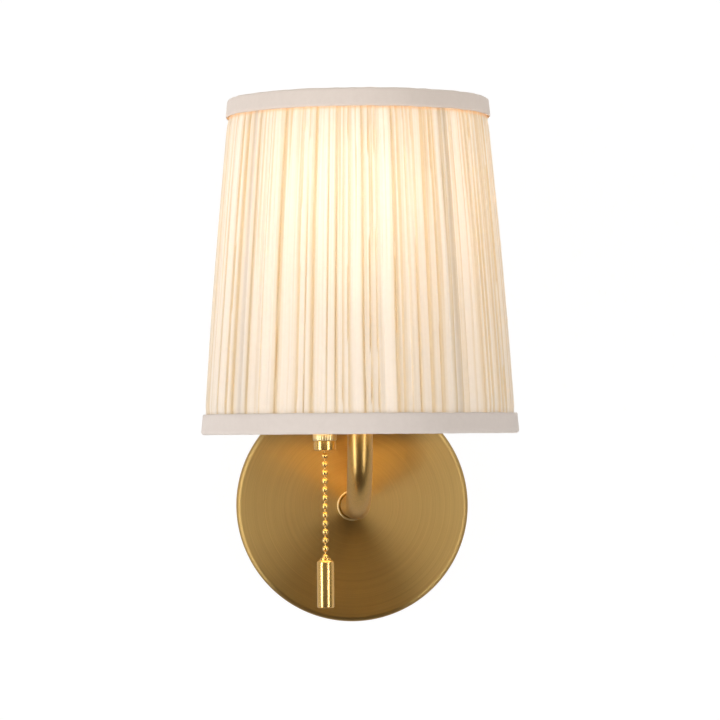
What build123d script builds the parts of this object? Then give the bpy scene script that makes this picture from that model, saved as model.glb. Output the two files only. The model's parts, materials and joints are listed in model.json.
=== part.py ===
from build123d import *
import math
import os

# Wall light with a pleated fabric shade, in millimetres.
# Origin: centre of the wall bracket on the wall plane. +Y into the wall, +Z up, -Y towards the room.

# ---- Driving dimensions: wall side ----
plate_dia = 120.0
plate_depth = 18.0
plate_sheet = 1.2
plate_rim_radius = 2.6
bracket_width = 24.0
bracket_sheet = 2.0
bracket_ear_depth = 12.0
bracket_ear_gap = 1.3
slot_spacing = 79.4
slot_length = 16.0
slot_width = 5.0
cable_hole_dia = 20.0
set_screw_dia = 4.0
set_screw_length = 8.0
set_screw_sink = 0.3
set_screw_bore_play = 0.2
hex_socket_width = 2.0
hex_socket_depth = 2.0
block_width = 19.0
block_height = 15.0
block_depth = 11.0
block_top_drop = 12.5
pole_spacing = 10.0
barrel_dia = 4.6
block_end_wall = 1.5
block_edge = 1.0
clamp_screw_dia = 3.4
clamp_screw_sink = 0.4
clamp_slot_width = 0.6
clamp_slot_cut = 2.0
earth_screw_dia = 4.0
earth_screw_head_dia = 7.5
earth_screw_head_height = 2.4
earth_screw_head_edge = 0.5
earth_screw_foot_dia = 6.5
earth_screw_foot_height = 1.0
earth_slot_width = 0.9
earth_slot_cut = 2.0
earth_screw_rise = 24.0
earth_tag_sheet = 0.8
earth_tag_width = 5.0
earth_tag_reach = 14.0
earth_lead_tail = 2.5
earth_lead_lead_in = 4.5
earth_lead_dip = 0.9
earth_lead_end_dip = 0.4

# ---- Driving dimensions: arm ----
arm_dia = 12.5
arm_wall = 1.4
arm_reach = 104.0
arm_bend_radius = 38.0
collar_dia = 16.0
collar_gap = 0.7
collar_height = 1.0
nipple_wall = 1.1
nipple_behind_plate = 8.4
nipple_in_arm = 12.0
nut_width = 14.0
nut_height = 3.2
washer_dia = 15.0
washer_sheet = 0.8
washer_teeth = 12
washer_notch_depth = 0.8
washer_notch_width = 0.9

# ---- Driving dimensions: pull switch ----
switch_offset = 17.5
switch_tab_sheet = 2.0
switch_tab_top = 40.7
switch_tab_edge = 4.6
switch_body_dia = 19.5
switch_body_height = 15.3
switch_wall = 1.0
bushing_dia = 9.0
bushing_bore_dia = 4.6
bushing_flange_dia = 13.4
bushing_flange_height = 1.5
knurl_nut_dia = 11.8
knurl_nut_height = 5.0
knurl_count = 36
knurl_depth = 0.35
nozzle_dia = 10.8
nozzle_height = 4.7
nozzle_floor = 1.0
nozzle_mouth_dia = 4.6
nozzle_lip_radius = 0.6
nozzle_mouth_edge = 0.3
slider_dia = 13.2
slider_height = 3.5
slider_stem_dia = 5.2
slider_stem_height = 2.0
slider_headroom = 0.5
slider_roof = 1.0
contact_sheet = 1.2
contact_height = 8.0
contact_width = 4.0
spring_wire_dia = 0.6
spring_mean_dia = 9.0
spring_turns = 4

# ---- Driving dimensions: chain and pull weight ----
bead_dia = 3.2
bead_wall = 0.35
bead_hole_dia = 1.1
bead_pitch = 4.15
link_dia = 0.8
link_head_dia = 1.5
link_pivot_gap = 0.1
link_head_gap = 0.05
first_bead_drop = 2.6
hidden_beads = 6
hanging_beads = 12
weight_dia = 8.4
weight_length = 24.4
weight_shoulder = 1.6
weight_end_radius = 0.7
weight_neck_dia = 5.4
weight_neck_height = 0.9
weight_bore_dia = 3.6
weight_bore_depth = 6.6
weight_grip = 0.6

# ---- Driving dimensions: lampholder and bulb ----
holder_floor_rise = 58.9
holder_dia = 38.0
holder_wall = 1.3
holder_floor = 1.5
holder_cap_height = 17.0
holder_skirt_height = 29.0
holder_cap_edge = 1.2
holder_nipple_rise = 1.2
skirt_threads = 6
skirt_thread_pitch = 2.0
skirt_thread_radius = 0.6
skirt_thread_offset = 0.25
insulator_height = 7.0
insulator_rise = 13.0
terminal_screw_dia = 3.5
terminal_screw_height = 2.0
terminal_radius = 10.5
terminal_screw_roof = 2.0
terminal_slot_width = 0.8
terminal_slot_cut = 1.6
shell_bore_dia = 26.8
shell_wall = 0.6
shell_height = 23.0
shell_thread_radius = 0.48
lamp_thread_pitch = 3.6
lamp_threads = 5
contact_tongue_width = 6.0
contact_tongue_sheet = 0.8
contact_tongue_overlap = 2.0
bulb_cap_dia = 26.2
bulb_cap_height = 24.0
bulb_tip_dia = 9.0
bulb_tip_height = 1.2
bulb_plug_height = 3.0
bulb_plug_edge = 1.6
bulb_thread_radius = 0.9
bulb_thread_sink = 0.4
bulb_thread_depth = 0.5
bulb_first_thread = 4.0
bulb_dia = 60.0
bulb_length = 105.0
bulb_neck_dia = 24.6
bulb_glass = 0.8
bulb_shoulder_dia = 27.6
bulb_shoulder_rise = 33.0
bulb_foot_rise = 8.0
bulb_foot_cut = 2.0
bulb_stem_dia = 8.0
bulb_stem_height = 30.0
bulb_stem_foot_height = 1.2
bulb_wire_dia = 2.0
filament_length = 34.0
filament_dia = 1.8
filament_ring_dia = 14.0
filament_count = 4
filament_disc_height = 1.0
filament_inset = 0.4

# ---- Driving dimensions: shade ----
shade_bottom = 37.0
shade_height = 165.0
shade_bottom_dia = 155.4
shade_top_dia = 126.8
shade_belly = 0.85
pleat_count = 84
pleat_depth = 2.2
pleat_tucked_depth = 1.6
pleat_cloth = 0.5
pleat_wander = 0.22
pleat_slow_wave = 0.83
pleat_fast_wave = 2.17
pleat_fast_share = 0.6
pleat_fast_start = 1.1
pleat_pinch_end = 4.0
pleat_pinch_start = 1.0
tuck_in = 0.35
top_trim_height = 9.0
top_trim_proud = 1.1
bottom_trim_height = 10.0
bottom_trim_proud = 0.55
trim_cloth = 0.6
top_trim_turn_in = 3.2
bottom_trim_turn_in = 1.6
frame_wire_dia = 2.4
ring_wire_dia = 2.8
frame_gap = 0.3
strut_count = 4
first_strut_angle = 37.0
lining_sheet = 0.5
lining_bottom_rise = 9.6
fitter_ring_dia = 64.0
fitter_ring_sheet = 2.0
fitter_arm_turn = 8.0
shade_ring_dia = 54.0
shade_ring_height = 5.0
shade_ring_edge = 0.6
flute_count = 24
flute_dia = 3.0
flute_offset = 0.8
fitter_rise = 86.7

# ---- Driving dimensions: leads ----
lead_dia = 2.1
lead_half_spacing = 1.4
lead_wall_clear = 6.8
lead_small_bend = 2.2
lead_clamp_rise = 4.2
lead_arch_drop = 3.0
switch_lead_spacing = 5.5

# ---- Named clearances ----
thread_clearance = 0.05
slide_clearance = 0.05
seat_clearance = 0.02
lead_clearance = 0.3
shade_ring_clearance = 0.1
holder_fit = 0.05
weld_clearance = 0.05
overcut = 1.0

# ---- Worked-out places ----
plate_face = plate_depth
plate_inner_face = plate_depth - plate_sheet
arm_bore_dia = arm_dia - 2 * arm_wall
nipple_dia = arm_bore_dia - 2 * thread_clearance
nipple_bore_dia = nipple_dia - 2 * nipple_wall
lamp_y = -arm_reach
switch_floor = switch_tab_top + switch_wall
switch_ceiling = switch_tab_top + switch_body_height - switch_wall
switch_top = switch_tab_top + switch_body_height
nut_bottom = switch_tab_top - switch_tab_sheet - knurl_nut_height
nozzle_bottom = nut_bottom - nozzle_height
first_bead = nozzle_bottom - first_bead_drop
side_pivot = first_bead + bead_pitch / 2
front_pivot = first_bead - bead_pitch / 2
last_bead = first_bead - hanging_beads * bead_pitch
weight_top = last_bead - weight_grip
flange_top = switch_floor + bushing_flange_height
slider_top = switch_ceiling - slider_headroom
slider_bottom = slider_top - slider_height
insulator_bottom = holder_floor_rise + insulator_rise
insulator_top = insulator_bottom + insulator_height
shell_bottom = insulator_top
shell_top = shell_bottom + shell_height
tongue_top = insulator_top + contact_tongue_sheet
bulb_bottom = tongue_top + slide_clearance
bulb_cap_bottom = bulb_bottom + bulb_tip_height
bulb_top = bulb_bottom + bulb_length
bulb_foot = bulb_cap_bottom + bulb_plug_height + bulb_foot_rise
shade_top = shade_bottom + shade_height
top_ring_z = shade_top - trim_cloth - ring_wire_dia / 2 - frame_gap
bottom_ring_z = shade_bottom + trim_cloth + ring_wire_dia / 2 + frame_gap
wire_inset = pleat_depth + pleat_cloth + frame_gap + ring_wire_dia / 2
lining_inset = wire_inset + ring_wire_dia / 2 + frame_gap


def save(name, shape):
    """Write one named sub-part."""
    export_step(shape, os.path.join("parts", name + ".step"))


def post(dia, z0, z1):
    """A plain cylinder about Z from height z0 to z1."""
    return Pos(0, 0, (z0 + z1) / 2) * Cylinder(dia / 2, z1 - z0)


def pipe(dia, bore, z0, z1):
    """A cylinder about Z with a through bore."""
    return post(dia, z0, z1) - post(bore, z0 - overcut, z1 + overcut)


def hex_nut(width, bore, z0, z1):
    """A hexagon nut about Z, width measured across its flats."""
    flats = Pos(0, 0, z0) * extrude(RegularPolygon(width / 2, 6, major_radius=False), z1 - z0)
    return flats - post(bore, z0 - overcut, z1 + overcut)


def turned(points):
    """A turned solid about Z from a closed outline of (radius, height) points."""
    outline = Polyline([(r, 0, z) for r, z in points], close=True)
    return revolve(make_face(outline), axis=Axis.Z)


def from_wall(shape):
    """Turn a shape built along +Z so that it grows from the wall into the room."""
    return Rot(90, 0, 0) * shape


def at_lamp(shape):
    """Move a shape built about Z onto the lampholder's axis."""
    return Pos(0, lamp_y, 0) * shape


def at_switch(shape):
    """Move a shape built about Z onto the pull switch's axis."""
    return Pos(-switch_offset, lamp_y, 0) * shape


def shade_radius(z):
    """Radius of the pleats' outer folds at a height, with the cloth's slight belly."""
    up = (z - shade_bottom) / shade_height
    straight = shade_bottom_dia / 2 + (shade_top_dia - shade_bottom_dia) / 2 * up
    return straight + shade_belly * math.sin(math.pi * min(max(up, 0), 1))


def frame_radius(z):
    """Radius of the straight frame line under the folds at a height."""
    up = (z - shade_bottom) / shade_height
    return shade_bottom_dia / 2 + (shade_top_dia - shade_bottom_dia) / 2 * up


# ---- Wall side ----
def wall_bracket():
    """Flat crossbar with two slots, a cable hole and two turned ears for the set screws."""
    ear_face = plate_dia / 2 - plate_sheet - bracket_ear_gap
    bar = Pos(0, 0, bracket_sheet / 2) * Box(bracket_width, 2 * ear_face, bracket_sheet)
    for side in (-1, 1):
        ear_y = side * (ear_face - bracket_sheet / 2)
        bar += Pos(0, ear_y, bracket_ear_depth / 2) * Box(bracket_width, bracket_sheet, bracket_ear_depth)
        slot = Rot(0, 0, 90) * SlotOverall(slot_length, slot_width)
        bar -= Pos(0, side * slot_spacing / 2, -overcut) * extrude(slot, bracket_sheet + 2 * overcut)
        bore = Rot(90, 0, 0) * Cylinder(set_screw_dia / 2 + thread_clearance, 4 * bracket_sheet)
        bar -= Pos(0, ear_y, set_screw_height()) * bore
    bar -= post(cable_hole_dia, -overcut, bracket_sheet + overcut)
    earth_hole = post(earth_screw_dia + 2 * thread_clearance, -overcut, bracket_sheet + overcut)
    bar -= Pos(0, earth_screw_rise, 0) * earth_hole
    return from_wall(bar)


def set_screw_height():
    """Distance of the set screws from the wall."""
    return bracket_ear_depth - set_screw_dia


def plate_set_screws():
    """Two flush set screws with hexagon sockets, through the plate's rim into the bracket's ears."""
    end = plate_dia / 2 - set_screw_sink
    screw = post(set_screw_dia, end - set_screw_length, end)
    socket = extrude(RegularPolygon(hex_socket_width / 2, 6, major_radius=False), 2 * hex_socket_depth)
    screw -= Pos(0, 0, end - hex_socket_depth) * socket
    lower = Pos(0, -set_screw_height(), 0) * screw
    upper = Pos(0, -set_screw_height(), 0) * Rot(180, 0, 0) * screw
    return Compound(children=[lower, upper])


def back_plate():
    """Round cup with a rounded rim, a hole for the arm and two holes for the set screws."""
    cup = post(plate_dia, 0, plate_depth)
    cup = fillet(cup.edges().group_by(Axis.Z)[-1], plate_rim_radius)
    hollow = post(plate_dia - 2 * plate_sheet, -overcut, plate_inner_face)
    hollow = fillet(hollow.edges().group_by(Axis.Z)[-1], plate_rim_radius - plate_sheet)
    cup -= hollow
    cup -= post(nipple_dia + 2 * thread_clearance, 0, plate_depth + overcut)
    bore = Rot(90, 0, 0) * Cylinder(set_screw_dia / 2 + set_screw_bore_play, plate_dia + 2 * overcut)
    cup -= Pos(0, 0, set_screw_height()) * bore
    return from_wall(cup)


def block_centre():
    """Distance of the terminal block's centre below the cable hole's centre."""
    return -block_top_drop - block_height / 2


def barrel_length():
    """Length of a clamp barrel between the block's end walls."""
    return block_height - 2 * block_end_wall


def terminal_block():
    """Two-pole terminal block standing on the bracket, with a bore for each clamp."""
    middle = bracket_sheet + block_depth / 2
    block = Pos(0, block_centre(), middle) * Box(block_width, block_height, block_depth)
    block = chamfer(block.edges().filter_by(Axis.Z), block_edge)
    for side in (-1, 1):
        bore_length = barrel_length() + 2 * seat_clearance
        bore = Rot(90, 0, 0) * Cylinder(barrel_dia / 2 + seat_clearance, bore_length)
        block -= Pos(side * pole_spacing / 2, block_centre(), lead_wall_clear) * bore
        entry = Rot(90, 0, 0) * Cylinder(lead_dia / 2 + lead_clearance, block_height / 2 + overcut)
        entry_y = block_centre() + block_height / 4 + overcut / 2
        block -= Pos(side * pole_spacing / 2, entry_y, lead_wall_clear) * entry
        shaft_dia = clamp_screw_dia + 2 * thread_clearance
        shaft = post(shaft_dia, lead_wall_clear, bracket_sheet + block_depth + overcut)
        block -= Pos(side * pole_spacing / 2, block_centre(), 0) * shaft
    return from_wall(block)


def terminal_clamps():
    """Brass barrels in the terminal block, each with its slotted clamp screw."""
    pieces = []
    for side in (-1, 1):
        barrel = Rot(90, 0, 0) * Cylinder(barrel_dia / 2, barrel_length())
        clamp = Pos(0, 0, lead_wall_clear) * barrel
        clamp += post(clamp_screw_dia, lead_wall_clear, bracket_sheet + block_depth - clamp_screw_sink)
        slot = Box(clamp_screw_dia + overcut, clamp_slot_width, clamp_slot_cut)
        clamp -= Pos(0, 0, bracket_sheet + block_depth) * slot
        pieces.append(from_wall(Pos(side * pole_spacing / 2, block_centre(), 0) * clamp))
    return Compound(children=pieces)


def earth_screw():
    """Earth screw in the bracket, its head clamping the earth lead."""
    head_base = lead_wall_clear + lead_dia / 2
    screw = post(earth_screw_dia, 0, head_base)
    head = post(earth_screw_head_dia, head_base, head_base + earth_screw_head_height)
    head = chamfer(head.edges().group_by(Axis.Z)[-1], earth_screw_head_edge)
    slot = Box(earth_screw_head_dia, earth_slot_width, earth_slot_cut)
    head -= Pos(0, 0, head_base + earth_screw_head_height) * slot
    foot = post(earth_screw_foot_dia, bracket_sheet, bracket_sheet + earth_screw_foot_height)
    return from_wall(Pos(0, earth_screw_rise, 0) * (screw + head + foot))


def earth_tag():
    """Flat ring terminal under the arm's lock nut."""
    z0 = plate_inner_face - washer_sheet - earth_tag_sheet
    z1 = plate_inner_face - washer_sheet
    tag = post(washer_dia, z0, z1)
    tag += Pos(0, earth_tag_reach / 2, (z0 + z1) / 2) * Box(earth_tag_width, earth_tag_reach, z1 - z0)
    tag -= post(nipple_dia + 2 * thread_clearance, z0 - overcut, z1 + overcut)
    return from_wall(tag)


def earth_lead():
    """Short lead from the earth tag's end to the neck of the earth screw."""
    tag_z = plate_inner_face - washer_sheet - earth_tag_sheet / 2
    side_x = earth_screw_dia / 2 + lead_dia / 2 + seat_clearance
    beside_screw = bracket_sheet + earth_screw_foot_height + lead_dia / 2 + lead_clearance
    points = [
        (0, -tag_z, earth_tag_reach),
        (0, -tag_z, earth_tag_reach + earth_lead_tail),
        (side_x, -beside_screw - earth_lead_dip, earth_screw_rise - earth_lead_lead_in),
        (side_x, -beside_screw - earth_lead_end_dip, earth_screw_rise + earth_lead_tail),
    ]
    return lead_along(points, [lead_small_bend, lead_small_bend])


def lead_along(points, radii):
    """A round insulated lead along straight runs joined by tangent arcs."""
    path = FilletPolyline(*points, radius=radii)
    start = Plane(origin=path @ 0, z_dir=path % 0)
    lead = sweep(start * Circle(lead_dia / 2), path=path)
    expected = math.pi * (lead_dia / 2) ** 2 * path.length
    print("lead volume over section times length:", round(lead.volume / expected, 4), "radii", radii)
    return lead


# ---- Arm ----
def arm_path():
    """Centre line of the arm: out from the plate, round one bend, up into the lampholder."""
    return FilletPolyline(
        (0, -plate_face, 0), (0, lamp_y, 0), (0, lamp_y, holder_floor_rise), radius=arm_bend_radius
    )


def arm_tube():
    """Bent brass tube."""
    path = arm_path()
    section = Circle(arm_dia / 2) - Circle(arm_bore_dia / 2)
    return sweep(Plane(origin=path @ 0, z_dir=path % 0) * section, path=path)


def arm_collar():
    """Thin raised ring round the arm's root, its outer edge softened."""
    ring = post(collar_dia, plate_face, plate_face + collar_height)
    ring = fillet(ring.edges().group_by(Axis.Z)[-1], collar_height / 2)
    bore = post(arm_dia + 2 * collar_gap, plate_face - overcut, plate_face + 2 * collar_height)
    return from_wall(ring - bore)


def arm_nipple():
    """Threaded tube that holds the arm to the plate."""
    z0 = plate_inner_face - nipple_behind_plate
    return from_wall(pipe(nipple_dia, nipple_bore_dia, z0, plate_face + nipple_in_arm))


def arm_lock_washer():
    """Toothed washer behind the plate."""
    z1 = plate_inner_face
    washer = pipe(washer_dia, nipple_dia + 2 * thread_clearance, z1 - washer_sheet, z1)
    cut = Box(2 * washer_notch_depth, washer_notch_width, 2 * washer_sheet)
    notch = Pos(washer_dia / 2, 0, z1 - washer_sheet / 2) * cut
    for tooth in range(washer_teeth):
        washer -= Rot(0, 0, tooth * 360 / washer_teeth) * notch
    return from_wall(washer)


def arm_lock_nut():
    """Hexagon nut that clamps the earth tag, the washer and the plate to the arm."""
    z1 = plate_inner_face - washer_sheet - earth_tag_sheet
    nut = hex_nut(nut_width, nipple_dia + 2 * thread_clearance, z1 - nut_height, z1)
    return from_wall(nut)


# ---- Leads inside the arm ----
def arm_lead_start(side):
    """First points of a lead: up out of its clamp and over to the arm's nipple."""
    pole_x = side * pole_spacing / 2
    clamp_y = block_centre() + barrel_length() / 2
    return [
        (pole_x, -lead_wall_clear, clamp_y),
        (pole_x, -lead_wall_clear, clamp_y + lead_clamp_rise),
        (side * lead_half_spacing, -lead_wall_clear, 0),
        (side * lead_half_spacing, lamp_y, 0),
    ]


def neutral_lead():
    """Lead from the terminal block through the arm to the lampholder's screw shell."""
    points = arm_lead_start(1) + [(lead_half_spacing, lamp_y, insulator_bottom)]
    return lead_along(points, [lead_small_bend, lead_small_bend, arm_bend_radius])


def live_lead():
    """Lead from the terminal block through the arm, then over and down into the switch."""
    over_z = insulator_bottom - lead_arch_drop
    down_x = -switch_offset + lead_half_spacing * 2
    points = arm_lead_start(-1) + [
        (-lead_half_spacing, lamp_y, over_z),
        (down_x, lamp_y, over_z),
        (down_x, lamp_y, switch_top),
    ]
    small = lead_small_bend
    return lead_along(points, [small, small, arm_bend_radius, small, small])


def switch_lead_place():
    """Where the switched lead rises from the switch to the lampholder."""
    return (-switch_offset + lead_half_spacing * 3, lamp_y - switch_lead_spacing)


def switch_lead():
    """Straight lead from the switch up to the lampholder's centre contact."""
    x, y = switch_lead_place()
    return Pos(x, y, 0) * post(lead_dia, switch_top, insulator_bottom)


# ---- Pull switch ----
def switch_bracket():
    """Flat tab brazed round the arm, with a second hole for the switch's bushing."""
    around_arm = Circle(arm_dia / 2 + switch_tab_edge)
    around_switch = Pos(-switch_offset, 0) * Circle(bushing_dia / 2 + switch_tab_edge)
    outline = make_hull((around_arm + around_switch).edges())
    outline -= Circle(arm_dia / 2 + seat_clearance)
    outline -= Pos(-switch_offset, 0) * Circle(bushing_dia / 2 + thread_clearance)
    tab = Pos(0, 0, switch_tab_top - switch_tab_sheet) * extrude(outline, switch_tab_sheet)
    return at_lamp(tab)


def switch_body():
    """Closed round can with a rounded top, holes for the bushing and for two leads."""
    can = post(switch_body_dia, switch_tab_top, switch_top)
    can = fillet(can.edges().group_by(Axis.Z)[-1], 2 * switch_wall)
    can -= post(switch_body_dia - 2 * switch_wall, switch_floor, switch_ceiling)
    can -= post(bushing_dia + 2 * thread_clearance, switch_tab_top - overcut, switch_floor + overcut)
    return at_switch(can)


def switch_bushing():
    """Threaded tube with an inner flange, from the switch down through its nut into the nozzle."""
    bottom = nozzle_bottom + nozzle_floor + 2 * thread_clearance
    shank = post(bushing_dia, bottom, flange_top)
    flange = post(bushing_flange_dia, switch_floor, flange_top)
    return at_switch(shank + flange - post(bushing_bore_dia, bottom - overcut, flange_top + overcut))


def switch_contacts():
    """Two springy contact strips inside the switch, one each side of the slider."""
    inner = slider_dia / 2 + lead_clearance
    strips = []
    for side in (-1, 1):
        strip = Pos(side * (inner + contact_sheet / 2), 0, slider_top - contact_height / 2)
        strips.append(at_switch(strip * Box(contact_sheet, contact_width, contact_height)))
    return Compound(children=strips)


def switch_nut():
    """Knurled nut under the tab."""
    z1 = nut_bottom + knurl_nut_height
    nut = post(knurl_nut_dia, nut_bottom, z1)
    nut = chamfer(nut.edges().filter_by(GeomType.CIRCLE), knurl_depth)
    notch = Rot(0, 0, 45) * Rectangle(knurl_depth * 1.6, knurl_depth * 1.6)
    groove = Pos(knurl_nut_dia / 2, 0, nut_bottom - overcut) * extrude(notch, knurl_nut_height + 2 * overcut)
    cutters = [Rot(0, 0, step * 360 / knurl_count) * groove for step in range(knurl_count)]
    nut = nut - cutters
    return at_switch(nut - post(bushing_dia + 2 * thread_clearance, nut_bottom - overcut, z1 + overcut))


def switch_nozzle():
    """Smooth polished cap under the nut, with a mouth for the chain."""
    cap = post(nozzle_dia, nozzle_bottom, nut_bottom)
    cap = fillet(cap.edges().group_by(Axis.Z)[0], nozzle_lip_radius)
    cap -= post(bushing_dia + 2 * thread_clearance, nozzle_bottom + nozzle_floor, nut_bottom + overcut)
    cap -= post(nozzle_mouth_dia, nozzle_bottom - overcut, nozzle_bottom + 2 * nozzle_floor)
    mouth_edge = cap.edges().group_by(Axis.Z)[0].sort_by(SortBy.LENGTH)[0]
    return at_switch(chamfer(mouth_edge, nozzle_mouth_edge))


def switch_slider():
    """Plunger that the chain pulls down, with a socket for the chain's top bead."""
    bottom = slider_bottom - slider_stem_height
    plunger = post(slider_dia, slider_bottom, slider_top) + post(slider_stem_dia, bottom, slider_bottom)
    pocket = post(weight_bore_dia, bottom - overcut, slider_top - slider_roof)
    return at_switch(plunger - pocket)


def biarc(p0, t0, p1, t1):
    """Two tangent arcs from one point and direction to another."""
    chord = p1 - p0
    both = t0 + t1
    bend = 2 * (1 - t0.dot(t1))
    along = chord.dot(both)
    reach = (-along + math.sqrt(along * along + bend * chord.dot(chord))) / bend
    middle = (p0 + t0 * reach + p1 - t1 * reach) * 0.5
    tangent = (p1 - t1 * reach - p0 - t0 * reach).normalized()
    return [TangentArc(p0, middle, tangent=t0), TangentArc(middle, p1, tangent=tangent)]


def switch_spring():
    """Return spring wound between the bushing's flange and the slider, one unbroken wire."""
    low = flange_top + spring_wire_dia / 2 + seat_clearance
    high = slider_bottom - spring_wire_dia / 2 - seat_clearance
    radius = spring_mean_dia / 2
    steps = spring_turns * 4
    rise = (high - low) / (2 * math.pi * spring_turns)
    points = []
    directions = []
    for step in range(steps + 1):
        angle = 2 * math.pi * spring_turns * step / steps
        points.append(Vector(radius * math.cos(angle), radius * math.sin(angle), low + rise * angle))
        directions.append(Vector(-radius * math.sin(angle), radius * math.cos(angle), rise).normalized())
    arcs = []
    for step in range(steps):
        arcs += biarc(points[step], directions[step], points[step + 1], directions[step + 1])
    path = Wire(arcs)
    wire = sweep(Plane(origin=points[0], z_dir=directions[0]) * Circle(spring_wire_dia / 2), path=path)
    gap = rise * 2 * math.pi - spring_wire_dia
    print("spring: least gap between turns", round(gap, 3), "volume ratio",
          round(wire.volume / (math.pi * (spring_wire_dia / 2) ** 2 * path.length), 4))
    return at_switch(wire)


# ---- Chain and pull weight ----
def bead(z):
    """One hollow bead with a hole at each pole."""
    shell = Sphere(bead_dia / 2) - Sphere(bead_dia / 2 - bead_wall)
    shell -= Cylinder(bead_hole_dia / 2, bead_dia + overcut)
    return Pos(0, 0, z) * shell


def link(z_low, z_high):
    """One wire link whose two heads sit inside neighbouring beads."""
    head = link_head_dia / 2
    wire = post(link_dia, z_low, z_high)
    wire += Pos(0, 0, z_low) * Sphere(head)
    wire += Pos(0, 0, z_high) * Sphere(head)
    return wire


def half_link(z_head, z_end):
    """Half of a link, from its head inside a bead to a rounded end by the swing point."""
    tip = z_end - math.copysign(link_dia / 2, z_end - z_head)
    wire = post(link_dia, min(z_head, tip), max(z_head, tip))
    wire += Pos(0, 0, z_head) * Sphere(link_head_dia / 2)
    wire += Pos(0, 0, tip) * Sphere(link_dia / 2)
    return wire


def link_head_offset():
    """How far a link's head sits from its bead's centre, towards the next bead."""
    return bead_dia / 2 - bead_wall - link_head_dia / 2 - link_head_gap


def chain_stretch(first, count):
    """Beads and links downwards from a first bead."""
    pieces = []
    for number in range(count):
        z = first - number * bead_pitch
        pieces.append(bead(z))
        if number < count - 1:
            pieces.append(link(z - bead_pitch + link_head_offset(), z - link_head_offset()))
    return pieces


def chain_top():
    """Hidden top of the chain, from the slider down to the bead in the nozzle's mouth."""
    mouth_bead = first_bead + bead_pitch
    pieces = chain_stretch(mouth_bead + (hidden_beads - 1) * bead_pitch, hidden_beads)
    pieces.append(half_link(mouth_bead - link_head_offset(), side_pivot + link_pivot_gap))
    return Compound(children=[at_switch(piece) for piece in pieces])


def chain_swivel():
    """The first free bead, between the sideways and the fore-and-aft swing points."""
    pieces = [
        bead(first_bead),
        half_link(first_bead + link_head_offset(), side_pivot - link_pivot_gap),
        half_link(first_bead - link_head_offset(), front_pivot + link_pivot_gap),
    ]
    return Compound(children=[at_switch(piece) for piece in pieces])


def pull_chain():
    """The hanging beads and links down to the weight, whose last bead is held inside it."""
    second = first_bead - bead_pitch
    pieces = [half_link(second + link_head_offset(), front_pivot - link_pivot_gap)]
    pieces += chain_stretch(second, hanging_beads + 1)
    return Compound(children=[at_switch(piece) for piece in pieces])


def pull_weight():
    """Solid cylinder with a rounded shoulder, a short neck and a socket for the last bead."""
    base = weight_top - weight_length
    shoulder_top = weight_top - weight_neck_height
    rod = post(weight_dia, base, shoulder_top)
    rod = fillet(rod.edges().group_by(Axis.Z)[-1], weight_shoulder)
    rod = fillet(rod.edges().group_by(Axis.Z)[0], weight_end_radius)
    rod += post(weight_neck_dia, shoulder_top - weight_shoulder / 2, weight_top)
    return at_switch(rod - post(weight_bore_dia, weight_top - weight_bore_depth, weight_top + overcut))


# ---- Lampholder ----
def holder_nipple():
    """Threaded tube from the arm's top into the lampholder."""
    top = holder_floor_rise + holder_floor + nut_height + holder_nipple_rise
    return at_lamp(pipe(nipple_dia, nipple_bore_dia, holder_floor_rise - nipple_in_arm, top))


def holder_lock_nut():
    """Hexagon nut that clamps the lampholder's cap to the arm."""
    z0 = holder_floor_rise + holder_floor
    return at_lamp(hex_nut(nut_width, nipple_dia + 2 * thread_clearance, z0, z0 + nut_height))


def holder_cap():
    """Lower cup of the lampholder, with holes for the nipple and the two switch leads."""
    z1 = holder_floor_rise + holder_cap_height
    cup = post(holder_dia, holder_floor_rise, z1)
    cup = fillet(cup.edges().group_by(Axis.Z)[0], holder_cap_edge)
    cup -= post(holder_dia - 2 * holder_wall, holder_floor_rise + holder_floor, z1 + overcut)
    cup -= post(nipple_dia + 2 * thread_clearance, holder_floor_rise - overcut, z1)
    floor_top = holder_floor_rise + holder_floor
    hole = post(lead_dia + 2 * lead_clearance, holder_floor_rise - overcut, floor_top + overcut)
    cup -= Pos(-switch_offset + lead_half_spacing * 2, 0, 0) * hole
    x, y = switch_lead_place()
    cup -= Pos(x, y - lamp_y, 0) * hole
    return at_lamp(cup)


def holder_insulator():
    """Ceramic disc that carries the terminals, the screw shell and the centre contact."""
    disc = post(holder_dia - 2 * holder_wall - 2 * holder_fit, insulator_bottom, insulator_top)
    bore_top = insulator_top - terminal_screw_roof
    for side in (-1, 1):
        bore = post(terminal_screw_dia + 2 * thread_clearance, insulator_bottom - overcut, bore_top)
        disc -= Pos(side * terminal_radius, terminal_radius / 2, 0) * bore
    return at_lamp(disc)


def holder_terminals():
    """Two screws in the insulator's underside."""
    screws = []
    top = insulator_top - terminal_screw_roof - seat_clearance
    slot = Box(2 * terminal_screw_dia, terminal_slot_width, terminal_slot_cut)
    for side in (-1, 1):
        screw = post(terminal_screw_dia, insulator_bottom, top)
        screw += post(2 * terminal_screw_dia, insulator_bottom - terminal_screw_height, insulator_bottom)
        screw -= Pos(0, 0, insulator_bottom - terminal_screw_height) * slot
        screws.append(at_lamp(Pos(side * terminal_radius, terminal_radius / 2, 0) * screw))
    return Compound(children=screws)


def holder_screw_shell():
    """Brass shell that the bulb screws into, with rolled rounds of thread outside its bore."""
    shell = post(shell_bore_dia + 2 * shell_wall, shell_bottom, shell_top)
    ring = Torus(shell_bore_dia / 2 + shell_wall, shell_thread_radius)
    for turn in range(lamp_threads):
        shell += Pos(0, 0, shell_bottom + lamp_thread_pitch * (turn + 1)) * ring
    return at_lamp(shell - post(shell_bore_dia, shell_bottom - overcut, shell_top + overcut))


def centre_contact():
    """Bronze tongue on the insulator that touches the bulb's tip."""
    tongue = Pos(0, 0, insulator_top + contact_tongue_sheet / 2)
    tongue *= Box(contact_tongue_width, bulb_tip_dia + contact_tongue_overlap, contact_tongue_sheet)
    return at_lamp(tongue)


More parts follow.
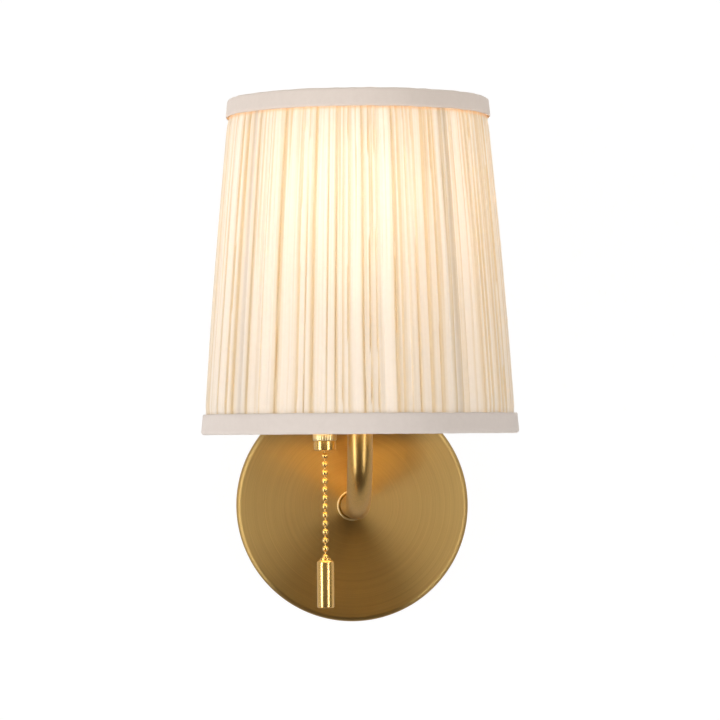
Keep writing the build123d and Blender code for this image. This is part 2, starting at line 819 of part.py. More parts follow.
def skirt_bottom():
    """Where the skirt stands on the lampholder's cap."""
    return holder_floor_rise + holder_cap_height


def holder_skirt():
    """Outer shell of the lampholder, whose outside thread carries the shade rings."""
    z0 = skirt_bottom()
    z1 = z0 + holder_skirt_height
    skirt = pipe(holder_dia, holder_dia - 2 * holder_wall, z0, z1)
    groove = Torus(holder_dia / 2 + skirt_thread_offset, skirt_thread_radius)
    for turn in range(skirt_threads):
        skirt -= Pos(0, 0, z1 - skirt_thread_pitch * (turn + 1)) * groove
    return at_lamp(skirt)


def shade_ring(z0, z1):
    """One threaded shade ring with finger flutes round its edge."""
    ring = post(shade_ring_dia, z0, z1)
    ring = chamfer(ring.edges().filter_by(GeomType.CIRCLE), shade_ring_edge)
    flute = Pos(shade_ring_dia / 2 + flute_offset, 0, 0) * post(flute_dia, z0 - overcut, z1 + overcut)
    flutes = [Rot(0, 0, step * 360 / flute_count) * flute for step in range(flute_count)]
    ring = ring - flutes
    return at_lamp(ring - post(holder_dia + 2 * shade_ring_clearance, z0 - overcut, z1 + overcut))


# ---- Shade frame ----
def fitter_ring():
    """Flat ring that the two shade rings clamp."""
    z0 = fitter_rise
    bore = holder_dia + 4 * shade_ring_clearance
    return at_lamp(pipe(fitter_ring_dia, bore, z0, z0 + fitter_ring_sheet))


def wire_ring(z):
    """A round wire hoop of the shade frame at a height."""
    return at_lamp(Pos(0, 0, z) * Torus(frame_radius(z) - wire_inset, ring_wire_dia / 2))


def straight_wire(r0, z0, r1, z1, angle):
    """A straight frame wire between two (radius, height) places at an angle round the shade."""
    turn = math.radians(angle)
    low = Vector(r0 * math.cos(turn), r0 * math.sin(turn), z0)
    high = Vector(r1 * math.cos(turn), r1 * math.sin(turn), z1)
    length = (high - low).length
    rod = Cylinder(frame_wire_dia / 2, length, align=(Align.CENTER, Align.CENTER, Align.MIN))
    return at_lamp(Plane(origin=low, z_dir=high - low) * rod)


def hoop_cutter(z):
    """The hoop with its weld clearance, for cutting wires to fit against it."""
    return at_lamp(Pos(0, 0, z) * Torus(frame_radius(z) - wire_inset, ring_wire_dia / 2 + weld_clearance))


def shade_strut(angle):
    """One upright of the frame, cut to fit between the two hoops."""
    low = frame_radius(bottom_ring_z) - wire_inset
    high = frame_radius(top_ring_z) - wire_inset
    rod = straight_wire(low, bottom_ring_z, high, top_ring_z, angle)
    rod = rod - hoop_cutter(bottom_ring_z) - hoop_cutter(top_ring_z)
    return rod.solids().sort_by(SortBy.VOLUME)[-1]


def fitter_arm(angle):
    """One sloping wire from the bottom hoop up to the fitter ring."""
    low = frame_radius(bottom_ring_z) - wire_inset
    high = fitter_ring_dia / 2 - 1.5 * frame_wire_dia
    rod = straight_wire(low, bottom_ring_z, high, fitter_rise + fitter_ring_sheet / 2, angle)
    ring_cutter = at_lamp(post(fitter_ring_dia + 2 * weld_clearance, fitter_rise - weld_clearance,
                               fitter_rise + fitter_ring_sheet + 4 * frame_wire_dia))
    rod = rod - hoop_cutter(bottom_ring_z) - ring_cutter
    return rod.solids().sort_by(SortBy.VOLUME)[-1]


# ---- Shade cloth ----
def pleat_angle(fold):
    """Angle of a fold line: even spacing with a slow, repeatable wander."""
    step = 2 * math.pi / (2 * pleat_count)
    fast = math.sin(fold * pleat_fast_wave + pleat_fast_start)
    wander = math.sin(fold * pleat_slow_wave) + pleat_fast_share * fast
    return step * (fold + pleat_wander * wander)


def pleat_section(z, crest, depth):
    """Ring of cloth at one height: ridges on the crest circle, valleys a fold's depth inside it."""
    outer = []
    inner = []
    for fold in range(2 * pleat_count):
        angle = pleat_angle(fold)
        radius = crest - (depth if fold % 2 else 0)
        outer.append((radius * math.cos(angle), radius * math.sin(angle)))
        thin = radius - pleat_cloth
        inner.append((thin * math.cos(angle), thin * math.sin(angle)))
    ring = make_face(Polyline(outer, close=True)) - make_face(Polyline(inner, close=True))
    return Pos(0, 0, z) * ring


def shade_pleats():
    """The gathered cloth: one ring of folds, tucked in under both trims."""
    low_edge = shade_bottom + bottom_trim_height
    high_edge = shade_top - top_trim_height
    middle = (low_edge + high_edge) / 2
    free_low = low_edge + pleat_pinch_end
    free_high = high_edge - pleat_pinch_end
    end_low = shade_bottom + trim_cloth + frame_gap
    end_high = shade_top - trim_cloth - frame_gap
    sections = [
        pleat_section(end_low, frame_radius(end_low) - tuck_in, pleat_tucked_depth),
        pleat_section(low_edge - pleat_pinch_start, frame_radius(low_edge) - tuck_in, pleat_tucked_depth),
        pleat_section(free_low, shade_radius(free_low), pleat_depth),
        pleat_section(middle, shade_radius(middle), pleat_depth),
        pleat_section(free_high, shade_radius(free_high), pleat_depth),
        pleat_section(high_edge + pleat_pinch_start, frame_radius(high_edge) - tuck_in, pleat_tucked_depth),
        pleat_section(end_high, frame_radius(end_high) - tuck_in, pleat_tucked_depth),
    ]
    return at_lamp(loft(sections, ruled=True))


def shade_lining():
    """Thin stiff cone inside the frame."""
    z0 = shade_bottom + lining_bottom_rise
    z1 = top_ring_z - ring_wire_dia / 2
    r0 = frame_radius(z0) - lining_inset
    r1 = frame_radius(z1) - lining_inset
    sheet = [(r0 - lining_sheet, z0), (r0, z0), (r1, z1), (r1 - lining_sheet, z1)]
    return at_lamp(turned(sheet))


def trim(z_edge, inward, height, proud, turn_in):
    """A folded band: an outer face, a turn over the hoop and a short turned-in lip."""
    edge = z_edge
    over = z_edge + inward * trim_cloth
    face_end = z_edge + inward * height
    lip_end = z_edge + inward * turn_in
    r_edge = frame_radius(edge) + proud
    r_face = frame_radius(face_end) + proud
    r_over = frame_radius(over) + proud
    inner = frame_radius(z_edge) - lining_inset - trim_cloth
    outline = [
        (inner, edge),
        (r_edge, edge),
        (r_face, face_end),
        (r_face - trim_cloth, face_end),
        (r_over - trim_cloth, over),
        (inner + trim_cloth, over),
        (inner + trim_cloth, lip_end),
        (inner, lip_end),
    ]
    return at_lamp(turned(outline))


# ---- Bulb ----
def bulb_outline(inset):
    """Half outline of the bulb's envelope, set in by the glass when it is the inside."""
    neck = bulb_neck_dia / 2 - inset
    neck_top = bulb_cap_bottom + bulb_cap_height
    shoulder = bulb_shoulder_dia / 2 - inset
    shoulder_z = bulb_bottom + bulb_shoulder_rise
    globe = bulb_dia / 2 - inset
    centre = bulb_top - bulb_dia / 2
    reach = math.hypot(shoulder, centre - shoulder_z)
    tangent_length = math.sqrt(reach * reach - globe * globe)
    slope = math.atan2(centre - shoulder_z, -shoulder) - math.asin(globe / reach)
    meet = (shoulder + tangent_length * math.cos(slope), shoulder_z + tangent_length * math.sin(slope))
    middle = math.atan2(meet[1] - centre, meet[0]) / 2 + math.pi / 4
    crown = (globe * math.cos(middle), centre + globe * math.sin(middle))
    corners = [(0, bulb_foot), (neck, bulb_foot), (neck, neck_top), (shoulder, shoulder_z), meet]
    side = Polyline([(r, 0, z) for r, z in corners])
    dome = ThreePointArc((meet[0], 0, meet[1]), (crown[0], 0, crown[1]), (0, 0, centre + globe))
    axis_line = Line((0, 0, centre + globe), (0, 0, bulb_foot))
    return revolve(make_face(side + dome + axis_line), axis=Axis.Z)


def bulb_envelope():
    """Opal glass envelope, open at its foot."""
    glass = bulb_outline(0) - bulb_outline(bulb_glass)
    mouth = post(bulb_neck_dia - 2 * bulb_glass, bulb_foot - overcut, bulb_foot + bulb_foot_cut)
    return at_lamp(glass - mouth)


def bulb_cap():
    """Threaded metal cap of the bulb, its thread as rolled rounds."""
    z0 = bulb_cap_bottom
    z1 = z0 + bulb_cap_height
    core = bulb_cap_dia - 2 * bulb_thread_depth
    cap = post(core, z0, z1)
    ring = Torus(core / 2 - bulb_thread_sink, bulb_thread_radius)
    for turn in range(lamp_threads):
        cap += Pos(0, 0, z0 + bulb_first_thread + lamp_thread_pitch * turn) * ring
    return at_lamp(cap - post(bulb_neck_dia + 2 * slide_clearance, z0 - overcut, z1 + overcut))


def bulb_contact():
    """Insulating plug at the bulb's foot with its metal tip."""
    z0 = bulb_cap_bottom
    plug = post(bulb_neck_dia, z0, z0 + bulb_plug_height)
    plug = chamfer(plug.edges().group_by(Axis.Z)[0], bulb_plug_edge)
    return at_lamp(plug + post(bulb_tip_dia, bulb_bottom, z0))


def bulb_stem():
    """Glass stem inside the bulb, with a foot in the neck and a disc at each end of the filaments."""
    waist = bulb_foot + bulb_stem_height
    top = waist + filament_length
    disc_dia = filament_ring_dia + filament_dia
    foot_dia = bulb_neck_dia - 2 * bulb_glass - 4 * slide_clearance
    stem = post(foot_dia, bulb_foot, bulb_foot + bulb_stem_foot_height)
    stem += post(bulb_stem_dia, bulb_foot, waist)
    stem += post(disc_dia, waist, waist + filament_disc_height)
    stem += post(disc_dia, top - filament_disc_height, top)
    stem += post(bulb_wire_dia, waist, top)
    return at_lamp(stem)


def bulb_filaments():
    """Glowing rods between the stem's two discs."""
    low = bulb_foot + bulb_stem_height + filament_disc_height
    high = bulb_foot + bulb_stem_height + filament_length - filament_disc_height
    rods = []
    for number in range(filament_count):
        place = Rot(0, 0, number * 360 / filament_count) * Pos(filament_ring_dia / 2 - filament_inset, 0, 0)
        rods.append(at_lamp(place * post(filament_dia, low, high)))
    return Compound(children=rods)


def main():
    """Write every sub-part."""
    os.makedirs("parts", exist_ok=True)
    pieces = {
        "wall_bracket": wall_bracket(),
        "plate_set_screws": plate_set_screws(),
        "back_plate": back_plate(),
        "terminal_block": terminal_block(),
        "terminal_clamps": terminal_clamps(),
        "earth_screw": earth_screw(),
        "earth_tag": earth_tag(),
        "earth_lead": earth_lead(),
        "arm_collar": arm_collar(),
        "arm_tube": arm_tube(),
        "arm_nipple": arm_nipple(),
        "arm_lock_washer": arm_lock_washer(),
        "arm_lock_nut": arm_lock_nut(),
        "live_lead": live_lead(),
        "neutral_lead": neutral_lead(),
        "switch_lead": switch_lead(),
        "switch_bracket": switch_bracket(),
        "switch_body": switch_body(),
        "switch_bushing": switch_bushing(),
        "switch_contacts": switch_contacts(),
        "switch_nut": switch_nut(),
        "switch_nozzle": switch_nozzle(),
        "switch_slider": switch_slider(),
        "switch_spring": switch_spring(),
        "chain_top": chain_top(),
        "chain_swivel": chain_swivel(),
        "pull_chain": pull_chain(),
        "pull_weight": pull_weight(),
        "holder_nipple": holder_nipple(),
        "holder_lock_nut": holder_lock_nut(),
        "holder_cap": holder_cap(),
        "holder_insulator": holder_insulator(),
        "holder_terminals": holder_terminals(),
        "holder_screw_shell": holder_screw_shell(),
        "centre_contact": centre_contact(),
        "holder_skirt": holder_skirt(),
        "lower_shade_ring": shade_ring(fitter_rise - shade_ring_height, fitter_rise),
        "upper_shade_ring": shade_ring(fitter_rise + fitter_ring_sheet,
                                       fitter_rise + fitter_ring_sheet + shade_ring_height),
        "fitter_ring": fitter_ring(),
        "shade_bottom_ring": wire_ring(bottom_ring_z),
        "shade_top_ring": wire_ring(top_ring_z),
        "shade_lining": shade_lining(),
        "shade_pleats": shade_pleats(),
        "top_trim": trim(shade_top, -1, top_trim_height, top_trim_proud, top_trim_turn_in),
        "bottom_trim": trim(shade_bottom, 1, bottom_trim_height, bottom_trim_proud, bottom_trim_turn_in),
        "bulb_cap": bulb_cap(),
        "bulb_contact": bulb_contact(),
        "bulb_envelope": bulb_envelope(),
        "bulb_stem": bulb_stem(),
        "bulb_filaments": bulb_filaments(),
    }
    for number in range(strut_count):
        angle = first_strut_angle + number * 360 / strut_count
        pieces[f"shade_strut_{number + 1}"] = shade_strut(angle)
        pieces[f"fitter_arm_{number + 1}"] = fitter_arm(angle + fitter_arm_turn)
    for name, shape in pieces.items():
        save(name, shape)


main()
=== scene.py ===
import bisect
import bpy
import bmesh
import json
import math
import random
from mathutils import Matrix, Vector


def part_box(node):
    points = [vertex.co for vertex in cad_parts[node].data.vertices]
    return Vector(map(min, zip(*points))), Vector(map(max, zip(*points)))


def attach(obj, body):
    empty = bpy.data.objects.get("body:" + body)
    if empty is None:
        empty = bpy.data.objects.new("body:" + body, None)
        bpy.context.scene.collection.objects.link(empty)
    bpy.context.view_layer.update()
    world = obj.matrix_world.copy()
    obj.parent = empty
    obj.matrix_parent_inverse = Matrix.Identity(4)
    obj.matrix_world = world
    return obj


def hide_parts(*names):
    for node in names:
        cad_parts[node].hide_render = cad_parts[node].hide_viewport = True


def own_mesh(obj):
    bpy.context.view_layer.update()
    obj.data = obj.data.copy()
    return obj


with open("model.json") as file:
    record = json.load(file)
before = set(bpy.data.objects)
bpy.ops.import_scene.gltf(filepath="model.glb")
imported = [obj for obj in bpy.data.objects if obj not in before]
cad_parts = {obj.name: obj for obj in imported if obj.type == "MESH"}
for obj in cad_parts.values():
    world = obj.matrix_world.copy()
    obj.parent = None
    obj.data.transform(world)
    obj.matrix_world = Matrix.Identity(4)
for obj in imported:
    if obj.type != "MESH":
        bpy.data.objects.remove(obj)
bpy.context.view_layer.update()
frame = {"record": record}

MM = 0.001

# ---- Metal sizes that the frame doesn't give, in metres ----
plate_sheet = 1.2 * MM
plate_rim_radius = 2.6 * MM
plate_hole_radius = 4.85 * MM
plate_face_rings = (0.72, 0.4)
plate_back_ring = 0.5
collar_gap = 0.7 * MM
collar_inner_edge = 0.4
arm_wall = 1.4 * MM
arm_bend_radius = 38.0 * MM
nozzle_floor = 1.0 * MM
nozzle_bore_radius = 4.55 * MM
nozzle_mouth_radius = 2.3 * MM
nozzle_edge = 0.6 * MM
nut_edge = 0.4 * MM
knurl_teeth = 36
knurl_depth = 0.2 * MM
weight_shoulder = 1.6 * MM
weight_end_radius = 0.7 * MM
weight_neck_radius = 2.7 * MM
weight_neck_height = 0.9 * MM
weight_bore_radius = 1.8 * MM
weight_bore_depth = 6.6 * MM
broken_edge = 0.25 * MM
bead_radius = 1.6 * MM
bead_pitch = 4.15 * MM
bead_hole_radius = 0.55 * MM
hidden_beads = 6
hanging_beads = 13
link_radius = 0.4 * MM
link_reach = 0.96 * MM
link_waist = 0.8
swivel_gap = 0.1 * MM
spring_wire = 0.6 * MM
spring_turns = 4
spring_steps = 36
weld = 1e-7

# ---- The two trims: a woven tape folded round each edge of the shade ----
tape_thickness = 0.48 * MM
tape_roll = 1.4 * MM
tape_edge = 0.5 * MM
tape_tuck = 0.35 * MM
tape_tuck_drop = 0.02 * MM
tape_rows = 5
tape_waves = 7
tape_wave_lift = 0.8
hoop_clearance = 0.9 * MM
top_lip = 3.2 * MM
bottom_lip = 1.6 * MM

# ---- The pleated cloth: sizes ----
fold_count = 112
columns_per_fold = 10
cloth_rows = 40
cloth_thickness = 0.3 * MM
cloth_inset = 1.2 * MM
fold_depth = 1.5 * MM
fine_depth = 0.22 * MM
belly = 0.85 * MM
pinch_at_head = 6.0 * MM
pinch_at_foot = 5.0 * MM
pinch_start = 0.5 * MM
pinch_depth = 0.45 * MM
pucker_depth = 0.18 * MM
puckers_per_fold = 4
crest_inset = 0.2 * MM
trim_overlap = 1.9 * MM
strut_names = ["shade_strut_1", "shade_strut_2", "shade_strut_3", "shade_strut_4"]
strut_shadow_width = 1.5 * MM
strut_shadow = 0.65
least_light = 0.2
gather_seed = 7

# ---- The pleated cloth: shares of a fold's width and of its height ----
roll_width = 0.16
fold_fall = 0.75
fall_curve = 1.15
overlap_start = 0.05
overlap_reach = 1.7
# A painted shade line along each fold's edge: its strength, place, width, and how it fades towards
# the top.
fold_edge_shade = 0.34
fold_edge_shade_place = 0.05
fold_edge_shade_width = 0.12
fold_edge_shade_fade = 0.6
crease_rise = 0.35
second_start = 0.35
second_roll_width = 0.25
second_fall = 0.6
second_overlap = (0.1, 0.8)
slow_sway = 0.0016
fast_sway = 0.0011
# How strongly painted shade follows the fine creases.
crease_shade = 0.50
crease_at_foot = 0.35
depth_at_trims = 0.45
# Each wave of the fine creases: how many round the shade, its drift and its phase.
crease_waves = [(211, 0.6, 0.0), (337, -0.9, 1.3), (149, 1.1, 2.1), (263, -0.4, 4.0)]

# ---- The lamp's glow through the cloth: its middle above the arm's root, and its spread ----
glow_height = 0.165
glow_reach = 0.062

# ---- Camera, worked out from the photograph ----
camera_distance = 1.700
camera_azimuth = -2.75
camera_height = 0.037
focal_px = 3447.0
image_px = 720.0
sensor_mm = 36.0
plate_px = (352.6, 505.5)
camera_roll = 0.4


def span(node):
    """Lowest and highest corner of a node as vectors."""
    low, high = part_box(node)
    return Vector(low), Vector(high)


def middle(node):
    """Centre of a node's box."""
    low, high = span(node)
    return (low + high) / 2


plate_low, plate_high = span("back_plate")
plate_radius = (plate_high.z - plate_low.z) / 2
plate_depth = -plate_low.y
arm_low, arm_high = span("arm_tube")
arm_radius = (arm_high.x - arm_low.x) / 2
lamp_axis = Vector((0, arm_low.y + arm_radius, 0))
switch_axis = Vector((middle("switch_nozzle").x, middle("switch_nozzle").y, 0))
top_trim_low, top_trim_high = span("top_trim")
bottom_trim_low, bottom_trim_high = span("bottom_trim")
shade_low = bottom_trim_low.z
shade_high = top_trim_high.z
pleats_width = span("shade_pleats")[1].x - span("shade_pleats")[0].x
foot_radius = pleats_width / 2 - crest_inset
head_radius = (top_trim_high.x - top_trim_low.x) / 2 - trim_overlap
quarter_turn = Matrix.Rotation(math.radians(90), 4, "X")


# ---- Mesh helpers ----
def new_piece(name, mesh_builder, body, material, nodes=(), smooth_angle=35.0):
    """Turn a finished bmesh into a piece that rides on a body and stands for its CAD nodes."""
    mesh = bpy.data.meshes.new(name)
    mesh_builder.to_mesh(mesh)
    mesh_builder.free()
    piece = bpy.data.objects.new(name, mesh)
    bpy.context.scene.collection.objects.link(piece)
    mesh.materials.append(material)
    for face in mesh.polygons:
        face.use_smooth = True
    mesh.set_sharp_from_angle(angle=math.radians(smooth_angle))
    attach(piece, body)
    if nodes:
        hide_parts(*nodes)
    return piece


def turned(points, steps=96, closed=True):
    """A bmesh spun about Z from an outline of (radius, height) points."""
    bm = bmesh.new()
    verts = [bm.verts.new((r, 0, z)) for r, z in points]
    loop = list(zip(verts, verts[1:])) + ([(verts[-1], verts[0])] if closed else [])
    edges = [bm.edges.new(pair) for pair in loop]
    bmesh.ops.spin(bm, geom=verts + edges, cent=(0, 0, 0), axis=(0, 0, 1), angle=2 * math.pi,
                   steps=steps, use_merge=True, use_duplicate=False)
    bmesh.ops.remove_doubles(bm, verts=bm.verts, dist=weld)
    bmesh.ops.recalc_face_normals(bm, faces=bm.faces)
    return bm


def arc(centre, radius, start, end, steps=6):
    """Points of an arc in an outline, angles in degrees."""
    turns = [math.radians(start + (end - start) * k / steps) for k in range(steps + 1)]
    return [(centre[0] + radius * math.cos(t), centre[1] + radius * math.sin(t)) for t in turns]


def put(bm, place):
    """Move a bmesh to a place, keeping its shape."""
    bmesh.ops.transform(bm, matrix=place, verts=bm.verts)
    return bm


def from_wall(bm):
    """Turn a shape built along +Z so that it grows from the wall into the room."""
    return put(bm, quarter_turn)


def at_switch(bm):
    """Move a shape built about Z onto the pull switch's axis."""
    return put(bm, Matrix.Translation(switch_axis))


def at_lamp(bm):
    """Move a shape built about Z onto the lampholder's axis."""
    return put(bm, Matrix.Translation(lamp_axis))


def drawn(bm, ring, move, steps):
    """Draw an open ring of edges out in equal steps, and give the last ring."""
    for _ in range(steps):
        made = bmesh.ops.extrude_edge_only(bm, edges=ring)["geom"]
        verts = {part for part in made if isinstance(part, bmesh.types.BMVert)}
        edges = [part for part in made if isinstance(part, bmesh.types.BMEdge)]
        ring = [edge for edge in edges if verts.issuperset(edge.verts)]
        bmesh.ops.translate(bm, verts=list(verts), vec=Vector(move) / steps)
    return ring


def merge_into(bm, other):
    """Add another bmesh's geometry to this one."""
    mesh = bpy.data.meshes.new("part")
    other.to_mesh(mesh)
    other.free()
    bm.from_mesh(mesh)
    bpy.data.meshes.remove(mesh)


def thicken(piece, label, thickness):
    """Give an open surface its wall, inwards from the surface."""
    wall = piece.modifiers.new(label, "SOLIDIFY")
    wall.thickness = thickness
    wall.offset = -1


def half_width(node):
    """Half of a node's width from left to right."""
    low, high = span(node)
    return (high.x - low.x) / 2


# ---- Shader groups ----
def group(name, inputs, outputs):
    """An empty shader node group with named sockets."""
    tree = bpy.data.node_groups.new(name, "ShaderNodeTree")
    for label, kind, value in inputs:
        socket = tree.interface.new_socket(name=label, in_out="INPUT", socket_type=kind)
        if value is not None:
            socket.default_value = value
    for label, kind in outputs:
        tree.interface.new_socket(name=label, in_out="OUTPUT", socket_type=kind)
    return tree, tree.nodes.new("NodeGroupInput"), tree.nodes.new("NodeGroupOutput")


def set_inputs(node, **values):
    """Set inputs of a shader node by their names, with _ for a space."""
    for label, value in values.items():
        node.inputs[label.replace("_", " ")].default_value = value


def math_node(tree, operation, a, b=None):
    """A math node whose inputs are sockets or numbers."""
    node = tree.nodes.new("ShaderNodeMath")
    node.operation = operation
    for number, value in enumerate((a, b)):
        if isinstance(value, (int, float)):
            node.inputs[number].default_value = value
        elif value is not None:
            tree.links.new(value, node.inputs[number])
    return node.outputs[0]


def turned_marks_group():
    """Concentric turning marks: fine rings about the axis that runs into the wall."""
    tree, given, made = group(
        "turned_marks",
        [("Vector", "NodeSocketVector", None), ("Fine", "NodeSocketFloat", 2600.0)],
        [("Rings", "NodeSocketFloat"), ("Cloud", "NodeSocketFloat")],
    )
    split = tree.nodes.new("ShaderNodeSeparateXYZ")
    tree.links.new(given.outputs["Vector"], split.inputs[0])
    square_x = math_node(tree, "MULTIPLY", split.outputs["X"], split.outputs["X"])
    square_z = math_node(tree, "MULTIPLY", split.outputs["Z"], split.outputs["Z"])
    radius = math_node(tree, "SQRT", math_node(tree, "ADD", square_x, square_z))
    join = tree.nodes.new("ShaderNodeCombineXYZ")
    tree.links.new(radius, join.inputs["X"])
    off_round = 0.004
    tree.links.new(math_node(tree, "MULTIPLY", split.outputs["X"], off_round), join.inputs["Y"])
    tree.links.new(math_node(tree, "MULTIPLY", split.outputs["Z"], off_round), join.inputs["Z"])
    rings = tree.nodes.new("ShaderNodeTexNoise")
    set_inputs(rings, Detail=4.0, Roughness=0.7)
    tree.links.new(join.outputs[0], rings.inputs["Vector"])
    tree.links.new(given.outputs["Fine"], rings.inputs["Scale"])
    cloud = tree.nodes.new("ShaderNodeTexNoise")
    set_inputs(cloud, Scale=55.0, Detail=5.0)
    tree.links.new(given.outputs["Vector"], cloud.inputs["Vector"])
    tree.links.new(rings.outputs["Fac"], made.inputs["Rings"])
    tree.links.new(cloud.outputs["Fac"], made.inputs["Cloud"])
    return tree


def grain_group():
    """Directional grain: noise stretched by the vector's scale, and a slow cloud under it."""
    tree, given, made = group(
        "grain",
        [("Vector", "NodeSocketVector", None), ("Fine", "NodeSocketFloat", 900.0),
         ("Slow", "NodeSocketFloat", 60.0)],
        [("Grain", "NodeSocketFloat"), ("Cloud", "NodeSocketFloat")],
    )
    for label, source, detail in (("Grain", "Fine", 5.0), ("Cloud", "Slow", 3.0)):
        texture = tree.nodes.new("ShaderNodeTexNoise")
        set_inputs(texture, Detail=detail, Roughness=0.6)
        tree.links.new(given.outputs["Vector"], texture.inputs["Vector"])
        tree.links.new(given.outputs[source], texture.inputs["Scale"])
        tree.links.new(texture.outputs["Fac"], made.inputs[label])
    return tree


def weave_group():
    """Plain weave: crossing threads with uneven thickness."""
    tree, given, made = group(
        "weave",
        [("Vector", "NodeSocketVector", None), ("Threads", "NodeSocketFloat", 2200.0)],
        [("Threads", "NodeSocketFloat"), ("Slubs", "NodeSocketFloat")],
    )
    waves = []
    for direction in ("X", "Z"):
        wave = tree.nodes.new("ShaderNodeTexWave")
        wave.bands_direction = direction
        set_inputs(wave, Distortion=1.2, Detail=2.0, Detail_Scale=0.6)
        tree.links.new(given.outputs["Vector"], wave.inputs["Vector"])
        tree.links.new(given.outputs["Threads"], wave.inputs["Scale"])
        waves.append(wave.outputs["Fac"])
    both = math_node(tree, "MAXIMUM", waves[0], waves[1])
    slubs = tree.nodes.new("ShaderNodeTexNoise")
    set_inputs(slubs, Scale=420.0, Detail=3.0)
    tree.links.new(given.outputs["Vector"], slubs.inputs["Vector"])
    tree.links.new(both, made.inputs["Threads"])
    tree.links.new(slubs.outputs["Fac"], made.inputs["Slubs"])
    return tree


turned_marks = turned_marks_group()
grain = grain_group()
weave = weave_group()


# ---- Material helpers ----
def blank(name):
    """A material with its node tree, its shader and object coordinates."""
    material = bpy.data.materials.new(name)
    material.use_nodes = True
    tree = material.node_tree
    shader = tree.nodes["Principled BSDF"]
    place = tree.nodes.new("ShaderNodeTexCoord")
    return material, tree, shader, place.outputs["Object"]


def use_group(tree, source, vector, **values):
    """Place a shader group in a material with its own values."""
    node = tree.nodes.new("ShaderNodeGroup")
    node.node_tree = source
    tree.links.new(vector, node.inputs["Vector"])
    set_inputs(node, **values)
    return node


def mapped(tree, vector, scale=(1, 1, 1), location=(0, 0, 0)):
    """Stretch or centre a pattern."""
    node = tree.nodes.new("ShaderNodeMapping")
    set_inputs(node, Scale=scale, Location=location)
    tree.links.new(vector, node.inputs["Vector"])
    return node.outputs[0]


def ramp(tree, value, stops):
    """A colour ramp from a value, stops as (position, colour)."""
    node = tree.nodes.new("ShaderNodeValToRGB")
    node.color_ramp.elements[0].position = stops[0][0]
    node.color_ramp.elements[0].color = (*stops[0][1], 1)
    node.color_ramp.elements[1].position = stops[-1][0]
    node.color_ramp.elements[1].color = (*stops[-1][1], 1)
    for position, colour in stops[1:-1]:
        node.color_ramp.elements.new(position).color = (*colour, 1)
    tree.links.new(value, node.inputs["Fac"])
    return node.outputs["Color"]


def between(tree, value, low, high):
    """Spread a 0 to 1 value between two numbers."""
    node = tree.nodes.new("ShaderNodeMapRange")
    set_inputs(node, To_Min=low, To_Max=high)
    tree.links.new(value, node.inputs["Value"])
    return node.outputs["Result"]


def bump(tree, shader, height, strength, distance):
    """Drive the shader's normal from a height."""
    node = tree.nodes.new("ShaderNodeBump")
    set_inputs(node, Strength=strength, Distance=distance)
    tree.links.new(height, node.inputs["Height"])
    tree.links.new(node.outputs["Normal"], shader.inputs["Normal"])


def shade_of(colour, factor):
    """A lighter or darker copy of a colour."""
    return tuple(min(1.0, c * factor) for c in colour)


def two_tone(tree, value, colour, darker, lighter, start=0.3, end=0.7):
    """A colour that goes from a darker to a lighter copy of itself as a value rises."""
    return ramp(tree, value, [(start, shade_of(colour, darker)), (end, shade_of(colour, lighter))])


# ---- Materials ----
satin_brass_colour = (0.580, 0.400, 0.150)
tube_brass_colour = (0.600, 0.390, 0.135)
polished_brass_colour = (0.900, 0.610, 0.220)
knurled_brass_colour = (0.95, 0.76, 0.42)
# The cloth's colours by its layers, 0 for one and 1 for the most: the outside colour with painted
# shade, darker and more amber where folds lie over each other, and the lamp's painted glow from
# within.
cloth_colour_and_fold_shade = [(0.0, (0.85, 0.80, 0.745)), (0.5, (0.82, 0.75, 0.655)), (1.0, (0.78, 0.67, 0.51))]
cloth_within = [(0.0, (1.00, 0.95, 0.88)), (0.45, (0.80, 0.70, 0.53)), (1.0, (0.52, 0.40, 0.20))]
# Painted orange glow in a thin line just under the top trim.
lip_glow_colour = (1.0, 0.40, 0.05)
tape_outside = [(0.3, (0.765, 0.695, 0.66)), (0.7, (0.785, 0.715, 0.68))]
# The lamp's painted glow through the top trim, brightest at its foot.
tape_glow = [(0.0, (0.80, 0.56, 0.32)), (1.0, (1.0, 0.60, 0.32))]
lining_white = [(0.3, (0.90, 0.88, 0.84)), (0.7, (0.95, 0.93, 0.89))]
lining_glow = [(0.2, (1.0, 0.55, 0.05)), (0.8, (1.0, 0.60, 0.08))]
opal_white = [(0.3, (0.92, 0.90, 0.86)), (0.7, (0.97, 0.95, 0.91))]
opal_glow = [(0.2, (1.0, 0.87, 0.77)), (0.8, (1.0, 0.90, 0.82))]
clear_tint = [(0.2, (0.92, 0.95, 0.94)), (0.8, (1.0, 1.0, 1.0))]
rod_colours = [(0.3, (0.95, 0.70, 0.22)), (0.7, (1.0, 0.80, 0.35))]


def turned_satin_brass():
    """The plate's lacquered satin brass with concentric turning marks."""
    material, tree, shader, place = blank("turned_satin_brass")
    marks = use_group(tree, turned_marks, place, Fine=2600.0)
    set_inputs(shader, Metallic=1.0)
    tint = two_tone(tree, marks.outputs["Rings"], satin_brass_colour, 0.86, 1.09, 0.25, 0.75)
    tree.links.new(tint, shader.inputs["Base Color"])
    tree.links.new(between(tree, marks.outputs["Cloud"], 0.36, 0.44), shader.inputs["Roughness"])
    set_inputs(shader, Anisotropic=0.85, Anisotropic_Rotation=0.25)
    round_the_axis = tree.nodes.new("ShaderNodeTangent")
    round_the_axis.direction_type = "RADIAL"
    round_the_axis.axis = "Y"
    tree.links.new(round_the_axis.outputs["Tangent"], shader.inputs["Tangent"])
    bump(tree, shader, marks.outputs["Rings"], 0.25, 0.00010)
    return material


